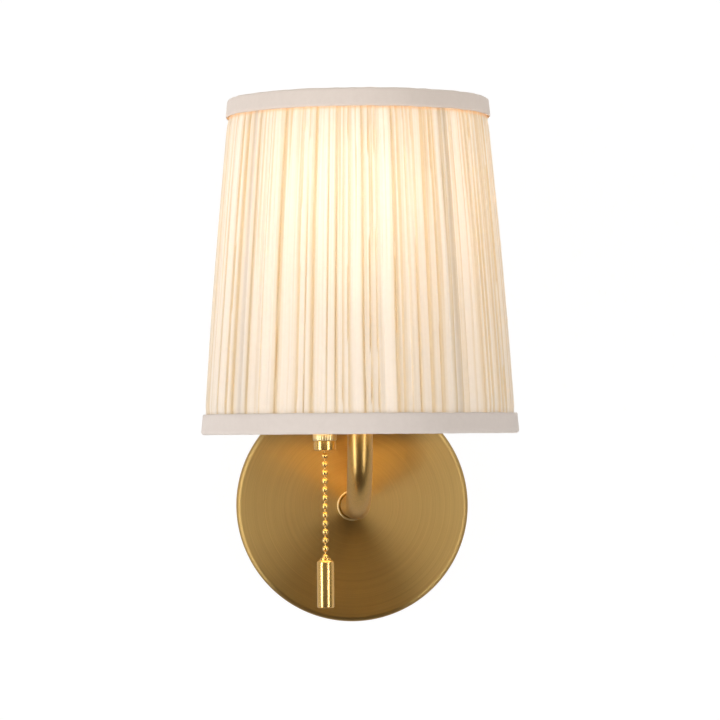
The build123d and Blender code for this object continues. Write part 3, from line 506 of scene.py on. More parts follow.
def drawn_satin_brass():
    """Brushed satin brass of the arm and of the switch's bracket."""
    material, tree, shader, place = blank("drawn_satin_brass")
    lines = use_group(tree, grain, mapped(tree, place, (1, 1, 0.35)), Fine=1500.0, Slow=70.0)
    set_inputs(shader, Metallic=1.0)
    tint = two_tone(tree, lines.outputs["Grain"], tube_brass_colour, 0.90, 1.10)
    tree.links.new(tint, shader.inputs["Base Color"])
    tree.links.new(between(tree, lines.outputs["Cloud"], 0.33, 0.39), shader.inputs["Roughness"])
    bump(tree, shader, lines.outputs["Grain"], 0.12, 0.0001)
    return material


def polished_brass():
    """Bright brass of the nozzle, the chain and the weight, with faint polishing haze."""
    material, tree, shader, place = blank("polished_brass")
    haze = use_group(tree, grain, mapped(tree, place, (1, 1, 0.2)), Fine=2400.0, Slow=260.0)
    set_inputs(shader, Metallic=1.0)
    tint = two_tone(tree, haze.outputs["Cloud"], polished_brass_colour, 0.93, 1.06)
    tree.links.new(tint, shader.inputs["Base Color"])
    tree.links.new(between(tree, haze.outputs["Cloud"], 0.24, 0.28), shader.inputs["Roughness"])
    return material


def grained(name, colour, metallic, rough, fine=900.0, slow=60.0, stretch=(1, 1, 1),
            contrast=0.08, dent=0.1):
    """A plain material with grain, cloudy roughness and small bumps."""
    material, tree, shader, place = blank(name)
    marks = use_group(tree, grain, mapped(tree, place, stretch), Fine=fine, Slow=slow)
    set_inputs(shader, Metallic=metallic)
    tint = two_tone(tree, marks.outputs["Grain"], colour, 1 - contrast, 1 + contrast)
    tree.links.new(tint, shader.inputs["Base Color"])
    tree.links.new(between(tree, marks.outputs["Cloud"], *rough), shader.inputs["Roughness"])
    bump(tree, shader, marks.outputs["Grain"], dent, 0.0001)
    return material


def glow_mask(tree, place, strength_low, strength_high):
    """How brightly the lamp shines through at a place: strongest level with the bulb."""
    offset = mapped(tree, place, (0, 0, 1), (0, 0, -glow_height))
    split = tree.nodes.new("ShaderNodeSeparateXYZ")
    tree.links.new(offset, split.inputs[0])
    steps = math_node(tree, "DIVIDE", split.outputs["Z"], glow_reach)
    square = math_node(tree, "MULTIPLY", steps, steps)
    fall = math_node(tree, "DIVIDE", 1.0, math_node(tree, "ADD", square, 1.0))
    return between(tree, fall, strength_low, strength_high)


def above(tree, place, low, high):
    """0 below one height, 1 above another, with a smooth rise between."""
    split = tree.nodes.new("ShaderNodeSeparateXYZ")
    tree.links.new(place, split.inputs[0])
    node = tree.nodes.new("ShaderNodeMapRange")
    node.interpolation_type = "SMOOTHSTEP"
    set_inputs(node, From_Min=low, From_Max=high)
    tree.links.new(split.outputs["Z"], node.inputs["Value"])
    return node.outputs["Result"]


def painted(tree, name):
    """A value that a piece's points carry."""
    node = tree.nodes.new("ShaderNodeAttribute")
    node.attribute_name = name
    return node.outputs["Fac"]


def blended(tree, value, colour, other):
    """A colour that turns into another one as a value rises."""
    node = tree.nodes.new("ShaderNodeMix")
    node.data_type = "RGBA"
    tree.links.new(value, node.inputs["Factor"])
    tree.links.new(colour, node.inputs["A"])
    set_inputs(node, B=(*other, 1))
    return node.outputs["Result"]


def tinted_by(tree, colour, value):
    """Multiply a colour by a value."""
    node = tree.nodes.new("ShaderNodeVectorMath")
    node.operation = "SCALE"
    tree.links.new(colour, node.inputs[0])
    tree.links.new(value, node.inputs["Scale"])
    return node.outputs[0]


def pleated_cloth():
    """Ivory cloth lit from behind, with painted glow and painted shade: single layers glow pale,
    folded layers dimmer and more amber.
    """
    material, tree, shader, place = blank("pleated_cloth")
    threads = use_group(tree, weave, place, Threads=2300.0)
    set_inputs(shader, Roughness=0.70, IOR=1.15, Transmission_Weight=0.25)
    # Layers of cloth, with the painted shade of the folds' edges and creases in them.
    layers = painted(tree, "layers")
    shadow = painted(tree, "frame_shadow")
    slubs = threads.outputs["Slubs"]
    # The frame's painted shadow and the weave's slubs, which dim the base colour.
    frame_shade_and_slubs = math_node(tree, "MULTIPLY", between(tree, shadow, 0.86, 1.0),
                       between(tree, slubs, 0.97, 1.03))
    # The base colour: the cloth's ivory, with painted shade where the folds overlap.
    outside = ramp(tree, layers, cloth_colour_and_fold_shade)
    tree.links.new(tinted_by(tree, outside, frame_shade_and_slubs), shader.inputs["Base Color"])
    # A thin line of painted orange glow just under the top trim.
    lip_glow_mask = above(tree, place, top_trim_low.z - 1.6 * MM, top_trim_low.z - 0.4 * MM)
    through = blended(tree, lip_glow_mask, ramp(tree, layers, cloth_within), lip_glow_colour)
    lit = math_node(tree, "MULTIPLY", glow_mask(tree, place, 0.42, 1.0), shadow)
    lit = math_node(tree, "MULTIPLY", lit, between(tree, slubs, 0.96, 1.04))
    tree.links.new(tinted_by(tree, through, lit), shader.inputs["Emission Color"])
    set_inputs(shader, Emission_Strength=0.20)
    bump(tree, shader, threads.outputs["Threads"], 0.08, 0.00006)
    return material


def trim_tape():
    """Woven ivory tape. The lamp shows faintly through the top trim, most at its foot."""
    material, tree, shader, place = blank("trim_tape")
    threads = use_group(tree, weave, place, Threads=1900.0)
    tree.links.new(ramp(tree, threads.outputs["Slubs"], tape_outside), shader.inputs["Base Color"])
    set_inputs(shader, Roughness=0.8, Sheen_Weight=0.2)
    # The lamp's painted glow, brightest at the trim's foot.
    glow_tint = ramp(tree, above(tree, place, top_trim_low.z + 3.0 * MM, top_trim_low.z), tape_glow)
    top_only = above(tree, place, glow_height, glow_height + MM)
    tree.links.new(tinted_by(tree, glow_tint, top_only), shader.inputs["Emission Color"])
    set_inputs(shader, Emission_Strength=0.07)
    bump(tree, shader, threads.outputs["Threads"], 0.10, 0.00008)
    return material


def lit_lining():
    """Translucent lining seen from inside, glowing round the bulb."""
    material, tree, shader, place = blank("lit_lining")
    marks = use_group(tree, grain, place, Fine=700.0, Slow=40.0)
    base = ramp(tree, marks.outputs["Grain"], lining_white)
    tree.links.new(base, shader.inputs["Base Color"])
    set_inputs(shader, Roughness=0.6, IOR=1.12, Transmission_Weight=0.6)
    # The lining's painted glow round the bulb.
    glow_tint = ramp(tree, marks.outputs["Cloud"], lining_glow)
    lit = tinted_by(tree, glow_tint, glow_mask(tree, place, 0.35, 0.9))
    tree.links.new(lit, shader.inputs["Emission Color"])
    set_inputs(shader, Emission_Strength=1.0)
    return material


def opal_glass():
    """The lit bulb's opal envelope, a little dimmer at its neck."""
    material, tree, shader, place = blank("opal_glass")
    marks = use_group(tree, grain, place, Fine=300.0, Slow=25.0)
    base = ramp(tree, marks.outputs["Grain"], opal_white)
    tree.links.new(base, shader.inputs["Base Color"])
    set_inputs(shader, Roughness=0.25)
    glow_tint = ramp(tree, marks.outputs["Cloud"], opal_glow)
    lit = tinted_by(tree, glow_tint, glow_mask(tree, place, 0.45, 1.0))
    tree.links.new(lit, shader.inputs["Emission Color"])
    set_inputs(shader, Emission_Strength=9.0)
    return material


def clear_glass():
    """The stem's clear glass."""
    material, tree, shader, place = blank("clear_glass")
    marks = use_group(tree, grain, place, Fine=500.0, Slow=80.0)
    base = ramp(tree, marks.outputs["Cloud"], clear_tint)
    tree.links.new(base, shader.inputs["Base Color"])
    set_inputs(shader, Roughness=0.04, IOR=1.5, Transmission_Weight=1.0)
    return material


def glowing_rods():
    """Phosphor rods inside the bulb."""
    material, tree, shader, place = blank("glowing_rods")
    marks = use_group(tree, grain, place, Fine=1200.0, Slow=150.0)
    base = ramp(tree, marks.outputs["Grain"], rod_colours)
    tree.links.new(base, shader.inputs["Base Color"])
    tree.links.new(base, shader.inputs["Emission Color"])
    set_inputs(shader, Emission_Strength=4.0)
    return material


turned_brass = turned_satin_brass()
drawn_brass = drawn_satin_brass()
bright_brass = polished_brass()
knurled_brass = grained("knurled_brass", knurled_brass_colour, 1.0, (0.30, 0.40), 1400.0, 120.0)
cloth = pleated_cloth()
tape = trim_tape()

# What grained() takes after the name, for each plain material.
plain_looks = {
    "raw_brass": ((0.62, 0.44, 0.18), 1.0, (0.30, 0.42), 1400.0, 90.0),
    "zinc_steel": ((0.55, 0.55, 0.53), 1.0, (0.32, 0.48), 700.0, 45.0, (1, 1, 0.3)),
    "frame_wire": ((0.78, 0.75, 0.69), 0.0, (0.35, 0.5), 900.0, 80.0),
    "spring_steel": ((0.36, 0.36, 0.37), 1.0, (0.25, 0.4), 1600.0, 200.0),
    "holder_plastic": ((0.74, 0.72, 0.66), 0.0, (0.35, 0.5), 600.0, 50.0, (1, 1, 1), 0.08, 0.05),
    "ceramic": ((0.80, 0.78, 0.72), 0.0, (0.45, 0.65), 1100.0, 70.0, (1, 1, 1), 0.04, 0.2),
    "block_plastic": ((0.72, 0.72, 0.68), 0.0, (0.4, 0.55), 800.0, 60.0, (1, 1, 1), 0.08, 0.05),
    "lead_brown": ((0.16, 0.07, 0.03), 0.0, (0.4, 0.55), 900.0, 80.0, (1, 1, 1), 0.08, 0.05),
    "lead_blue": ((0.03, 0.10, 0.35), 0.0, (0.4, 0.55), 900.0, 80.0, (1, 1, 1), 0.08, 0.05),
    "lead_green": ((0.14, 0.32, 0.03), 0.0, (0.4, 0.55), 900.0, 80.0, (1, 1, 1), 0.08, 0.05),
    "switch_can": ((0.56, 0.52, 0.42), 1.0, (0.25, 0.38), 1200.0, 90.0, (1, 1, 0.2)),
    "bulb_metal": ((0.66, 0.66, 0.66), 1.0, (0.22, 0.36), 1200.0, 90.0, (1, 1, 3)),
}
slot_materials = {name: grained(name, *look) for name, look in plain_looks.items()}
slot_materials.update({
    "satin_brass": drawn_brass,
    "polished_brass": bright_brass,
    "pleated_cloth": cloth,
    "trim_cloth": tape,
    "lining_sheet": lit_lining(),
    "bulb_opal": opal_glass(),
    "bulb_clear": clear_glass(),
    "bulb_filament": glowing_rods(),
})


def dress_cad_nodes():
    """Give every carried-over node the material of its slot."""
    for entry in frame["record"]["subparts"]:
        node = bpy.data.objects.get(entry["node"])
        if node is None:
            continue
        material = slot_materials[entry["material_slot"]]
        if node.data.materials:
            for index in range(len(node.data.materials)):
                node.data.materials[index] = material
        else:
            node.data.materials.append(material)


# ---- Metal pieces ----
def back_plate():
    """Spun brass cup with a rounded rim."""
    face = plate_depth
    back = plate_depth - plate_sheet
    bend_centre = (plate_radius - plate_rim_radius, face - plate_rim_radius)
    outline = [(plate_radius, 0)]
    outline += arc(bend_centre, plate_rim_radius, 0, 90, 10)
    outline += [(plate_radius * share, face) for share in plate_face_rings]
    outline += [(plate_hole_radius, face), (plate_hole_radius, back)]
    outline += [(plate_radius * plate_back_ring, back)]
    outline += arc(bend_centre, plate_rim_radius - plate_sheet, 90, 0, 6)
    outline += [(plate_radius - plate_sheet, 0)]
    new_piece("back_plate_spun", from_wall(turned(outline, 192)), "root", turned_brass,
              ["back_plate"])


def arm_collar():
    """Thin ring with a rounded shoulder round the arm's root."""
    outer = half_width("arm_collar")
    inner = arm_radius + collar_gap
    base, top = plate_depth, -span("arm_collar")[0].y
    edge = (top - base) / 2
    inner_edge = edge * collar_inner_edge
    outline = [(outer, base)]
    outline += arc((outer - edge, top - edge), edge, 0, 90, 6)
    outline += arc((inner + inner_edge, top - inner_edge), inner_edge, 90, 180, 4)
    outline += [(inner, base)]
    new_piece("arm_collar_ring", from_wall(turned(outline, 96)), "root", knurled_brass,
              ["arm_collar"])


def arm_tube():
    """Bent tube: a ring drawn straight out, spun round the bend and drawn straight up."""
    bm = bmesh.new()
    bmesh.ops.create_circle(bm, cap_ends=False, segments=48, radius=arm_radius)
    put(bm, Matrix.Translation((0, -plate_depth, 0)) @ quarter_turn)
    bend_start = lamp_axis.y + arm_bend_radius
    ring = drawn(bm, list(bm.edges), (0, bend_start + plate_depth, 0), 8)
    verts = list({v for e in ring for v in e.verts})
    made = bmesh.ops.spin(bm, geom=verts + ring, cent=(0, bend_start, arm_bend_radius),
                          axis=(1, 0, 0), angle=-math.pi / 2, steps=28, use_duplicate=False)
    ring = [e for e in made["geom_last"] if isinstance(e, bmesh.types.BMEdge)]
    drawn(bm, ring, (0, 0, arm_high.z - arm_bend_radius), 5)
    bmesh.ops.remove_doubles(bm, verts=bm.verts, dist=weld)
    bmesh.ops.recalc_face_normals(bm, faces=bm.faces)
    tube = new_piece("arm_tube_bent", bm, "root", drawn_brass, ["arm_tube"], 60)
    thicken(tube, "wall", arm_wall)


def switch_nut():
    """Knurled nut: a spun ring whose rim is cut into teeth."""
    low, high = span("switch_nut")
    outer = half_width("switch_nut")
    outline = [(outer - nut_edge, low.z), (outer, low.z + nut_edge),
               (outer, high.z - nut_edge), (outer - nut_edge, high.z),
               (nozzle_bore_radius, high.z), (nozzle_bore_radius, low.z)]
    bm = turned(outline, knurl_teeth * 4)
    for vert in bm.verts:
        if vert.co.xy.length > outer - nut_edge / 2:
            turn = math.atan2(vert.co.y, vert.co.x) * knurl_teeth
            vert.co.xy *= 1 - knurl_depth / outer * (0.5 - 0.5 * math.cos(turn))
    new_piece("switch_nut_knurled", at_switch(bm), "root", knurled_brass, ["switch_nut"],
              50)


def switch_nozzle():
    """Smooth cap under the nut with a softened lip and the chain's mouth."""
    low, high = span("switch_nozzle")
    outer = half_width("switch_nozzle")
    mouth = nozzle_mouth_radius
    outline = [(outer - broken_edge, high.z), (outer, high.z - broken_edge)]
    outline += arc((outer - nozzle_edge, low.z + nozzle_edge), nozzle_edge, 0, -90, 5)
    outline += arc((mouth + broken_edge, low.z + broken_edge), broken_edge, -90, -180, 3)
    outline += [(mouth, low.z + nozzle_floor), (nozzle_bore_radius, low.z + nozzle_floor)]
    outline += [(nozzle_bore_radius, high.z)]
    new_piece("switch_nozzle_cap", at_switch(turned(outline, 64)), "root", bright_brass,
              ["switch_nozzle"])


def chain_part(name, node, body, bead_heights, link_spans):
    """Beads and links of one part of the chain."""
    bm = bmesh.new()
    hole = math.degrees(math.asin(bead_hole_radius / bead_radius))
    for height in bead_heights:
        outline = arc((0, height), bead_radius, -90 + hole, 90 - hole, 14)
        merge_into(bm, turned(outline, 28, closed=False))
    for low, high in link_spans:
        waist = (link_radius * link_waist, (low + high) / 2)
        outline = [(0, low), (link_radius, low), waist, (link_radius, high), (0, high)]
        merge_into(bm, turned(outline, 12, closed=False))
    new_piece(name, at_switch(bm), body, bright_brass, [node], 60)


def chain():
    """The bead chain: its hidden top, one bead that swivels and the beads that hang."""
    top_bead = span("chain_top")[1].z - bead_radius
    heights = [top_bead - k * bead_pitch for k in range(hidden_beads + 1 + hanging_beads)]
    last_hidden, swivel, first_hanging = heights[hidden_beads - 1:hidden_beads + 2]
    half_link = bead_pitch / 2 - swivel_gap

    def links(first, last):
        return [(heights[k + 1] + link_reach, heights[k] - link_reach) for k in range(first, last)]

    chain_part("chain_top_beads", "chain_top", "switch_pull", heights[:hidden_beads],
               links(0, hidden_beads - 1) + [(last_hidden - half_link, last_hidden - link_reach)])
    chain_part("chain_swivel_bead", "chain_swivel", "chain_swivel", [swivel],
               [(swivel + link_reach, swivel + half_link),
                (swivel - half_link, swivel - link_reach)])
    chain_part("pull_chain_beads", "pull_chain", "hanging_chain", heights[hidden_beads + 1:],
               [(first_hanging + link_reach, first_hanging + half_link)]
               + links(hidden_beads + 1, hidden_beads + hanging_beads))


def pull_weight():
    """Polished rod with a rounded shoulder, a short neck and a socket for the last bead."""
    low, high = span("pull_weight")
    outer = half_width("pull_weight")
    end, shoulder = weight_end_radius, weight_shoulder
    neck_base = high.z - weight_neck_height
    outline = [(0, low.z)]
    outline += arc((outer - end, low.z + end), end, -90, 0, 6)
    outline += arc((outer - shoulder, neck_base - shoulder), shoulder, 0, 80, 8)
    outline += [(weight_neck_radius, neck_base), (weight_neck_radius, high.z - broken_edge)]
    outline += [(weight_neck_radius - broken_edge, high.z), (weight_bore_radius, high.z)]
    outline += [(weight_bore_radius, high.z - weight_bore_depth), (0, high.z - weight_bore_depth)]
    rod = at_switch(turned(outline, 64, closed=False))
    new_piece("pull_weight_rod", rod, "hanging_chain", bright_brass, ["pull_weight"])


def return_spring():
    """Coil of round wire that shortens against the bushing's flange as the chain is pulled."""
    low, high = span("switch_spring")
    wire = spring_wire / 2
    coil = half_width("switch_spring") - wire
    steps = spring_turns * spring_steps
    rise = (high.z - low.z - spring_wire) / steps
    bm = bmesh.new()
    bmesh.ops.create_circle(bm, cap_ends=False, segments=10, radius=wire)
    put(bm, Matrix.Translation((coil, 0, low.z + wire)) @ quarter_turn)
    bmesh.ops.spin(bm, geom=list(bm.verts) + list(bm.edges), cent=(0, 0, 0), axis=(0, 0, 1),
                   dvec=(0, 0, rise), angle=2 * math.pi * spring_turns, steps=steps,
                   use_duplicate=False)
    bmesh.ops.holes_fill(bm, edges=[edge for edge in bm.edges if edge.is_boundary], sides=0)
    bmesh.ops.recalc_face_normals(bm, faces=bm.faces)
    spring = new_piece("switch_spring_coil", at_switch(bm), "root", slot_materials["spring_steel"],
                       ["switch_spring"])
    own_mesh(spring)


# ---- The shade's cloth ----
def cone_radius(z):
    """Outer radius of the pleats' crests on the straight cone, from the two trims."""
    up = (z - shade_low) / (shade_high - shade_low)
    return foot_radius + (head_radius - foot_radius) * up


def smooth_step(low, high, value):
    """0 below low, 1 above high, and a smooth rise between."""
    t = min(max((value - low) / (high - low), 0.0), 1.0)
    return t * t * (3 - 2 * t)


def gather():
    """Seeded facts of each fold: its place, way, depth, overlap and the crease that parts it."""
    rng = random.Random(gather_seed)
    widths = [rng.uniform(0.55, 1.5) for _ in range(fold_count)]
    total = sum(widths)
    folds = []
    start = 0.0
    for width in widths:
        folds.append({
            "start": start / total,
            "width": width / total,
            "way": rng.random() < 0.5,
            "depth": rng.uniform(0.45, 1.0),
            "overlap": rng.uniform(0.22, 0.60),
            "strength": rng.uniform(0.4, 1.0),
            "split": rng.uniform(0.35, 0.65),
            "split_from": rng.uniform(0.15, 1.15),
            "dim": rng.uniform(-0.10, 0.14),
        })
        start += width
    return folds


def fine_creases(turn, up):
    """Small creases between the folds, -1 to 1, that run down the cloth with a slight drift."""
    total = sum(math.sin(2 * math.pi * (count * turn + drift * up) + phase)
                for count, drift, phase in crease_waves)
    return total / len(crease_waves)


def fold_shape(fold, along, up):
    """Height of the cloth, 0 to 1, and its layers, 0 to 1, with a painted shade line along the
    fold's edge, at a place across one fold.
    """
    across = along if fold["way"] else 1 - along
    split = fold["split"]
    crease = smooth_step(fold["split_from"], fold["split_from"] + crease_rise, up)
    height = smooth_step(0.0, roll_width, across) * (1 - fold_fall * across ** fall_curve)
    doubled = 1 - smooth_step(overlap_start, fold["overlap"] * overlap_reach, across)
    # Painted shade line close to the fold's edge.
    line = math.exp(-((across - fold_edge_shade_place) / fold_edge_shade_width) ** 2)
    layers = doubled * fold["strength"] + fold_edge_shade * line * (1 - fold_edge_shade_fade * up)
    if across > split and crease > 0:
        second = (across - split) / (1 - split)
        second_roll = smooth_step(0.0, second_roll_width, second)
        second_height = second_start + (1 - second_start) * second_roll
        second_height *= (1 - fold_fall * split ** fall_curve) * (1 - second_fall * second)
        second_layers = (1 - smooth_step(*second_overlap, second)) * fold["strength"]
        height += (second_height - height) * crease
        layers += (second_layers - layers) * crease
    return height, layers


def frame_shadow(angle, strut_angles, radius):
    """How much light gets past the frame's uprights at an angle round the shade."""
    light = 1.0
    for strut in strut_angles:
        away = abs(math.atan2(math.sin(angle - strut), math.cos(angle - strut))) * radius
        light -= strut_shadow * math.exp(-(away / strut_shadow_width) ** 2)
    return max(light, least_light)


def lean(turn, up):
    """How far the folds lean aside at a place, as a share of the turn."""
    slow = slow_sway * math.sin(2 * math.pi * (3 * turn + 0.8 * up))
    fast = fast_sway * math.sin(2 * math.pi * (7 * turn - up))
    return (slow + fast) * (up - 0.5)


def gathered_cloth(folds, turn, up, z):
    """The cloth's radius and its layers, 0 to 1, with painted shade along the folds' edges and the
    fine creases, at a place round the shade and up it.
    """
    place = (turn + lean(turn, up)) % 1.0
    fold = folds[bisect.bisect_right(folds, place, key=lambda item: item["start"]) - 1]
    along = min(max((place - fold["start"]) / fold["width"], 0.0), 1.0)
    height, layers = fold_shape(fold, along, up)
    pinch = smooth_step(0.0, pinch_at_head, top_trim_low.z + pinch_start - z)
    pinch *= smooth_step(0.0, pinch_at_foot, z - bottom_trim_high.z + pinch_start)
    creases = fine_creases(place, up) * (crease_at_foot + (1 - crease_at_foot) * up)
    depth = fold_depth * fold["depth"] * (depth_at_trims + (1 - depth_at_trims) * pinch)
    bulge = belly * math.sin(math.pi * min(max(up, 0), 1))
    pucker = pucker_depth * math.sin(2 * math.pi * puckers_per_fold * along)
    radius = cone_radius(z) + bulge * pinch + (pucker - pinch_depth) * (1 - pinch)
    radius += fine_depth * creases * pinch - depth * (1 - height)
    # The layers lighten on the fine creases' crests and darken in their hollows: painted shade.
    return radius, min(max(layers + fold["dim"] - crease_shade * creases, 0.0), 1.0)


def shade_cloth():
    """One sheet gathered into folds, marked with its layers, the folds' painted shade and the
    frame's painted shadow.
    """
    low_edge = shade_low + cloth_inset
    high_edge = shade_high - cloth_inset
    folds = gather()
    struts = []
    for name in strut_names:
        centre = middle(name) - lamp_axis
        struts.append(math.atan2(centre.y, centre.x))
    bm = bmesh.new()
    bmesh.ops.create_circle(bm, cap_ends=False, segments=fold_count * columns_per_fold, radius=1.0)
    bmesh.ops.translate(bm, verts=bm.verts, vec=(0, 0, low_edge))
    drawn(bm, list(bm.edges), (0, 0, high_edge - low_edge), cloth_rows)
    bmesh.ops.recalc_face_normals(bm, faces=bm.faces)
    # The layers attribute also carries painted shade along the folds' edges and creases.
    layers_and_shade_mark = bm.verts.layers.float.new("layers")
    shadow_mark = bm.verts.layers.float.new("frame_shadow")
    for vert in bm.verts:
        turn = (math.atan2(vert.co.y, vert.co.x) / (2 * math.pi)) % 1.0
        up = (vert.co.z - low_edge) / (high_edge - low_edge)
        angle = turn * 2 * math.pi
        radius, vert[layers_and_shade_mark] = gathered_cloth(folds, turn, up, vert.co.z)
        vert[shadow_mark] = frame_shadow(angle, struts, radius)
        vert.co.x = radius * math.cos(angle)
        vert.co.y = radius * math.sin(angle)
    piece = new_piece("shade_cloth", at_lamp(bm), "root", cloth, ["shade_pleats"],
                      80)
    thicken(piece, "cloth", cloth_thickness)
    return piece


def band(name, node, edge, inward, lip):
    """A folded tape: outer face, a rounded turn at the edge and a short turned-in lip."""
    low, high = span(node)
    face_end = high.z if inward > 0 else low.z
    height = abs(face_end - edge)
    slope = (bottom_trim_high.x - top_trim_high.x) / (shade_high - shade_low)
    edge_radius = half_width(node)
    face_radius = edge_radius - slope * height
    if inward < 0:
        edge_radius, face_radius = face_radius, edge_radius
    hoop_low, hoop_high = span("shade_bottom_ring" if inward > 0 else "shade_top_ring")
    inner = (hoop_high.x - hoop_low.x) / 2 - (hoop_high.z - hoop_low.z) - hoop_clearance
    outline = [(face_radius - tape_tuck, face_end - inward * tape_tuck_drop),
               (face_radius, face_end - inward * tape_edge)]
    for row in range(1, tape_rows):
        share = row / tape_rows
        drop = tape_edge + (height - tape_edge - tape_roll) * share
        radius = face_radius + (edge_radius - face_radius) * share
        outline.append((radius, face_end - inward * drop))
    fold = edge + inward * tape_roll
    outline += arc((edge_radius - tape_roll, fold), tape_roll, 0, -90 * inward, 5)
    outline += arc((inner + tape_roll, fold), tape_roll, -90 * inward, -180 * inward, 5)
    outline.append((inner, edge + inward * lip))
    bm = turned(outline, 256, closed=False)
    rng = random.Random(gather_seed + 3)
    waves = [(rng.randint(9, 60), rng.uniform(0, 6.28), rng.uniform(0.02, 0.07) * MM)
             for _ in range(tape_waves)]
    for vert in bm.verts:
        angle = math.atan2(vert.co.y, vert.co.x)
        radius = vert.co.xy.length
        if radius > inner + 2 * tape_roll:
            ripple = sum(size * math.sin(count * angle + phase) for count, phase, size in waves)
            vert.co.xy *= 1 + ripple / radius
            vert.co.z += ripple * tape_wave_lift
    piece = new_piece(name, at_lamp(bm), "root", tape, [node], 60)
    thicken(piece, "cloth", tape_thickness)
    return piece


# ---- The light, put together ----
dress_cad_nodes()
back_plate()
arm_collar()
arm_tube()
switch_nut()
switch_nozzle()
chain()
pull_weight()
return_spring()
shade = shade_cloth()
top_band = band("top_band", "top_trim", shade_high, -1, top_lip)
bottom_band = band("bottom_band", "bottom_trim", shade_low, 1, bottom_lip)


# ---- Stage: wall, floor, lamps, world and camera ----
stage_width = 3.0
wall_height = 2.4
wall_gap = 0.6 * MM
wall_middle = 0.2
floor_depth = 3.0
floor_drop = 0.9
lamp_distance = 1.6
lamp_elevation = -8
lamp_aim = Vector((0, 0, 0.08))
lamp_colour = (1.0, 0.98, 0.95)
room_reach = 0.8
# The backdrop's glow and the grey of its paint, to the eye, to polished metal and to all else.
stage_to_eye = ((0.95, 0.95, 0.95), 0.08)
stage_to_metal = ((0.56, 0.50, 0.46), 0.0)
stage_to_rest = ((0.0, 0.0, 0.0), 0.8)
room_colours = [
    (0.0, (0.05, 0.035, 0.02)), (0.35, (0.06, 0.045, 0.03)), (0.5, (0.22, 0.18, 0.13)),
    (0.65, (0.16, 0.14, 0.12)), (1.0, (0.60, 0.59, 0.57)),
]


def stage_material():
    """White to the eye with a faint shadow, dim to polished metal, and clear from behind."""
    material = bpy.data.materials.new("stage_white")
    material.use_nodes = True
    tree = material.node_tree
    tree.nodes.clear()
    out = tree.nodes.new("ShaderNodeOutputMaterial")
    path = tree.nodes.new("ShaderNodeLightPath")
    looks = []
    for colour, paint in (stage_to_eye, stage_to_metal, stage_to_rest):
        glow = tree.nodes.new("ShaderNodeEmission")
        set_inputs(glow, Color=(*colour, 1))
        diffuse = tree.nodes.new("ShaderNodeBsdfDiffuse")
        set_inputs(diffuse, Color=(paint, paint, paint, 1))
        both = tree.nodes.new("ShaderNodeAddShader")
        tree.links.new(glow.outputs[0], both.inputs[0])
        tree.links.new(diffuse.outputs[0], both.inputs[1])
        looks.append(both.outputs[0])
    to_eye, to_metal, to_rest = looks
    clear = tree.nodes.new("ShaderNodeBsdfTransparent")
    side = tree.nodes.new("ShaderNodeNewGeometry")
    seen = math_node(tree, "MAXIMUM", path.outputs["Is Camera Ray"],
                     path.outputs["Is Transmission Ray"])
    unseen = mixed(tree, path.outputs["Is Glossy Ray"], to_rest, to_metal)
    front = mixed(tree, seen, unseen, to_eye)
    either = mixed(tree, side.outputs["Backfacing"], front, clear.outputs[0])
    tree.links.new(either, out.inputs["Surface"])
    return material


def mixed(tree, value, first, second):
    """Turn from one shader to another by a value."""
    node = tree.nodes.new("ShaderNodeMixShader")
    tree.links.new(value, node.inputs[0])
    tree.links.new(first, node.inputs[1])
    tree.links.new(second, node.inputs[2])
    return node.outputs[0]


def stage_plane(name, width, depth, place, material):
    """A flat backdrop."""
    bm = bmesh.new()
    bmesh.ops.create_grid(bm, x_segments=1, y_segments=1, size=0.5)
    bmesh.ops.scale(bm, vec=(width, depth, 1), verts=bm.verts)
    put(bm, place)
    mesh = bpy.data.meshes.new(name)
    bm.to_mesh(mesh)
    bm.free()
    mesh.materials.append(material)
    plane = bpy.data.objects.new(name, mesh)
    bpy.context.scene.collection.objects.link(plane)
    return plane


def soft_lamp(name, azimuth, size, power):
    """An upright strip lamp a little below the shade, aimed at it."""
    data = bpy.data.lights.new(name, "AREA")
    data.shape = "RECTANGLE"
    data.size, data.size_y = size
    data.energy = power
    data.color = lamp_colour
    lamp = bpy.data.objects.new(name, data)
    a, e = math.radians(azimuth), math.radians(lamp_elevation)
    away = Vector((math.sin(a) * math.cos(e), -math.cos(a) * math.cos(e), math.sin(e)))
    lamp.location = lamp_axis + lamp_aim + away * lamp_distance
    lamp.rotation_mode = "QUATERNION"
    lamp.rotation_quaternion = (-away).to_track_quat("-Z", "Y")
    bpy.context.scene.collection.objects.link(lamp)


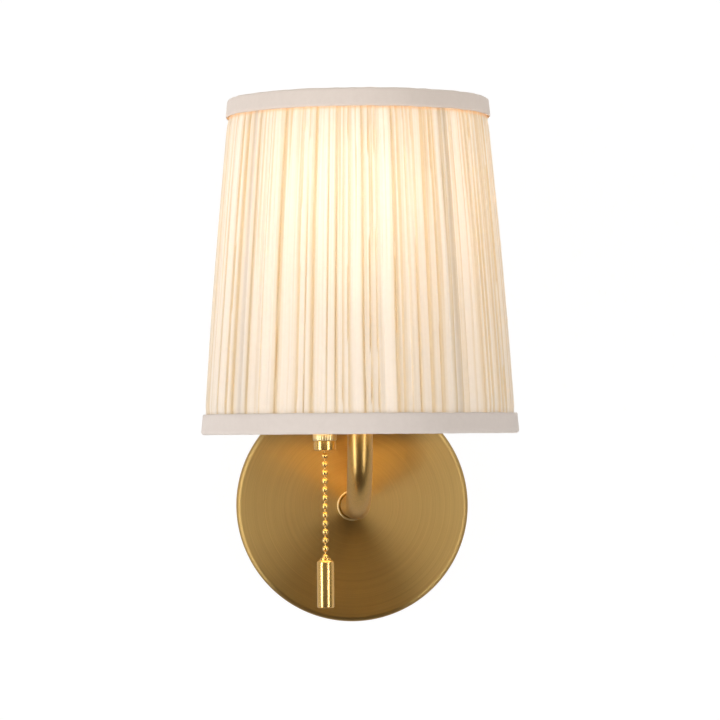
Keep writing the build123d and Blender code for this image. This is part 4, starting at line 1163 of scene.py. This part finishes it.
def studio_world():
    """White behind the object, and a dimmer room in front of it for the metal to show."""
    world = bpy.data.worlds.new("studio")
    world.use_nodes = True
    tree = world.node_tree
    tree.nodes.clear()
    out = tree.nodes.new("ShaderNodeOutputWorld")
    path = tree.nodes.new("ShaderNodeLightPath")
    place = tree.nodes.new("ShaderNodeTexCoord")
    split = tree.nodes.new("ShaderNodeSeparateXYZ")
    tree.links.new(place.outputs["Generated"], split.inputs[0])
    behind = math_node(tree, "GREATER_THAN", split.outputs["Y"], 0.0)
    shiny = math_node(tree, "MAXIMUM", path.outputs["Is Glossy Ray"],
                      path.outputs["Is Transmission Ray"])
    shown = math_node(tree, "MAXIMUM", path.outputs["Is Camera Ray"],
                      math_node(tree, "MULTIPLY", shiny, behind))
    rise = between(tree, split.outputs["Z"], 0.0, 1.0)
    set_inputs(rise.node, From_Min=-room_reach, From_Max=room_reach)
    room = tree.nodes.new("ShaderNodeBackground")
    tree.links.new(ramp(tree, rise, room_colours), room.inputs["Color"])
    white = tree.nodes.new("ShaderNodeBackground")
    set_inputs(white, Color=(1, 1, 1, 1), Strength=1.0)
    tree.links.new(mixed(tree, shown, room.outputs[0], white.outputs[0]), out.inputs["Surface"])
    bpy.context.scene.world = world


def photo_camera():
    """Camera at the photograph's place: level with the shade's foot, a little to the left."""
    data = bpy.data.cameras.new("photo_camera")
    data.sensor_width = sensor_mm
    data.lens = focal_px / image_px * sensor_mm
    data.clip_end = 20
    camera = bpy.data.objects.new("photo_camera", data)
    bpy.context.scene.collection.objects.link(camera)
    bpy.context.scene.camera = camera
    a = math.radians(camera_azimuth)
    where = lamp_axis + Vector((math.sin(a), -math.cos(a), 0)) * camera_distance
    where.z = camera_height
    target = Vector((0, -plate_depth, 0)) - where
    bearing = math.atan2(target.x, target.y)
    drop = math.atan2(target.z, math.hypot(target.x, target.y))
    roll = math.radians(camera_roll)
    off_x, off_y = plate_px[0] - image_px / 2, plate_px[1] - image_px / 2
    level_x = off_x * math.cos(roll) - off_y * math.sin(roll)
    level_y = off_y * math.cos(roll) + off_x * math.sin(roll)
    yaw = bearing - math.atan2(level_x, focal_px)
    pitch = drop + math.atan2(level_y, focal_px)
    turn = Matrix.Rotation(-yaw, 4, "Z") @ Matrix.Rotation(math.radians(90) + pitch, 4, "X")
    turn = turn @ Matrix.Rotation(-roll, 4, "Z")
    camera.matrix_world = Matrix.Translation(where) @ turn


stage_white = stage_material()
behind_plate = Matrix.Translation((0, wall_gap, wall_middle)) @ quarter_turn
stage_plane("stage_wall", stage_width, wall_height, behind_plate, stage_white)
below_plate = Matrix.Translation((0, -floor_depth / 2, -floor_drop))
floor = stage_plane("stage_floor", stage_width, floor_depth, below_plate, stage_white)
floor.visible_glossy = False
soft_lamp("left_strip", azimuth=-57, size=(0.40, 2.3), power=19)
soft_lamp("right_strip", azimuth=38, size=(0.30, 2.3), power=13.5)
studio_world()
photo_camera()
bpy.context.scene.view_settings.view_transform = "Standard"
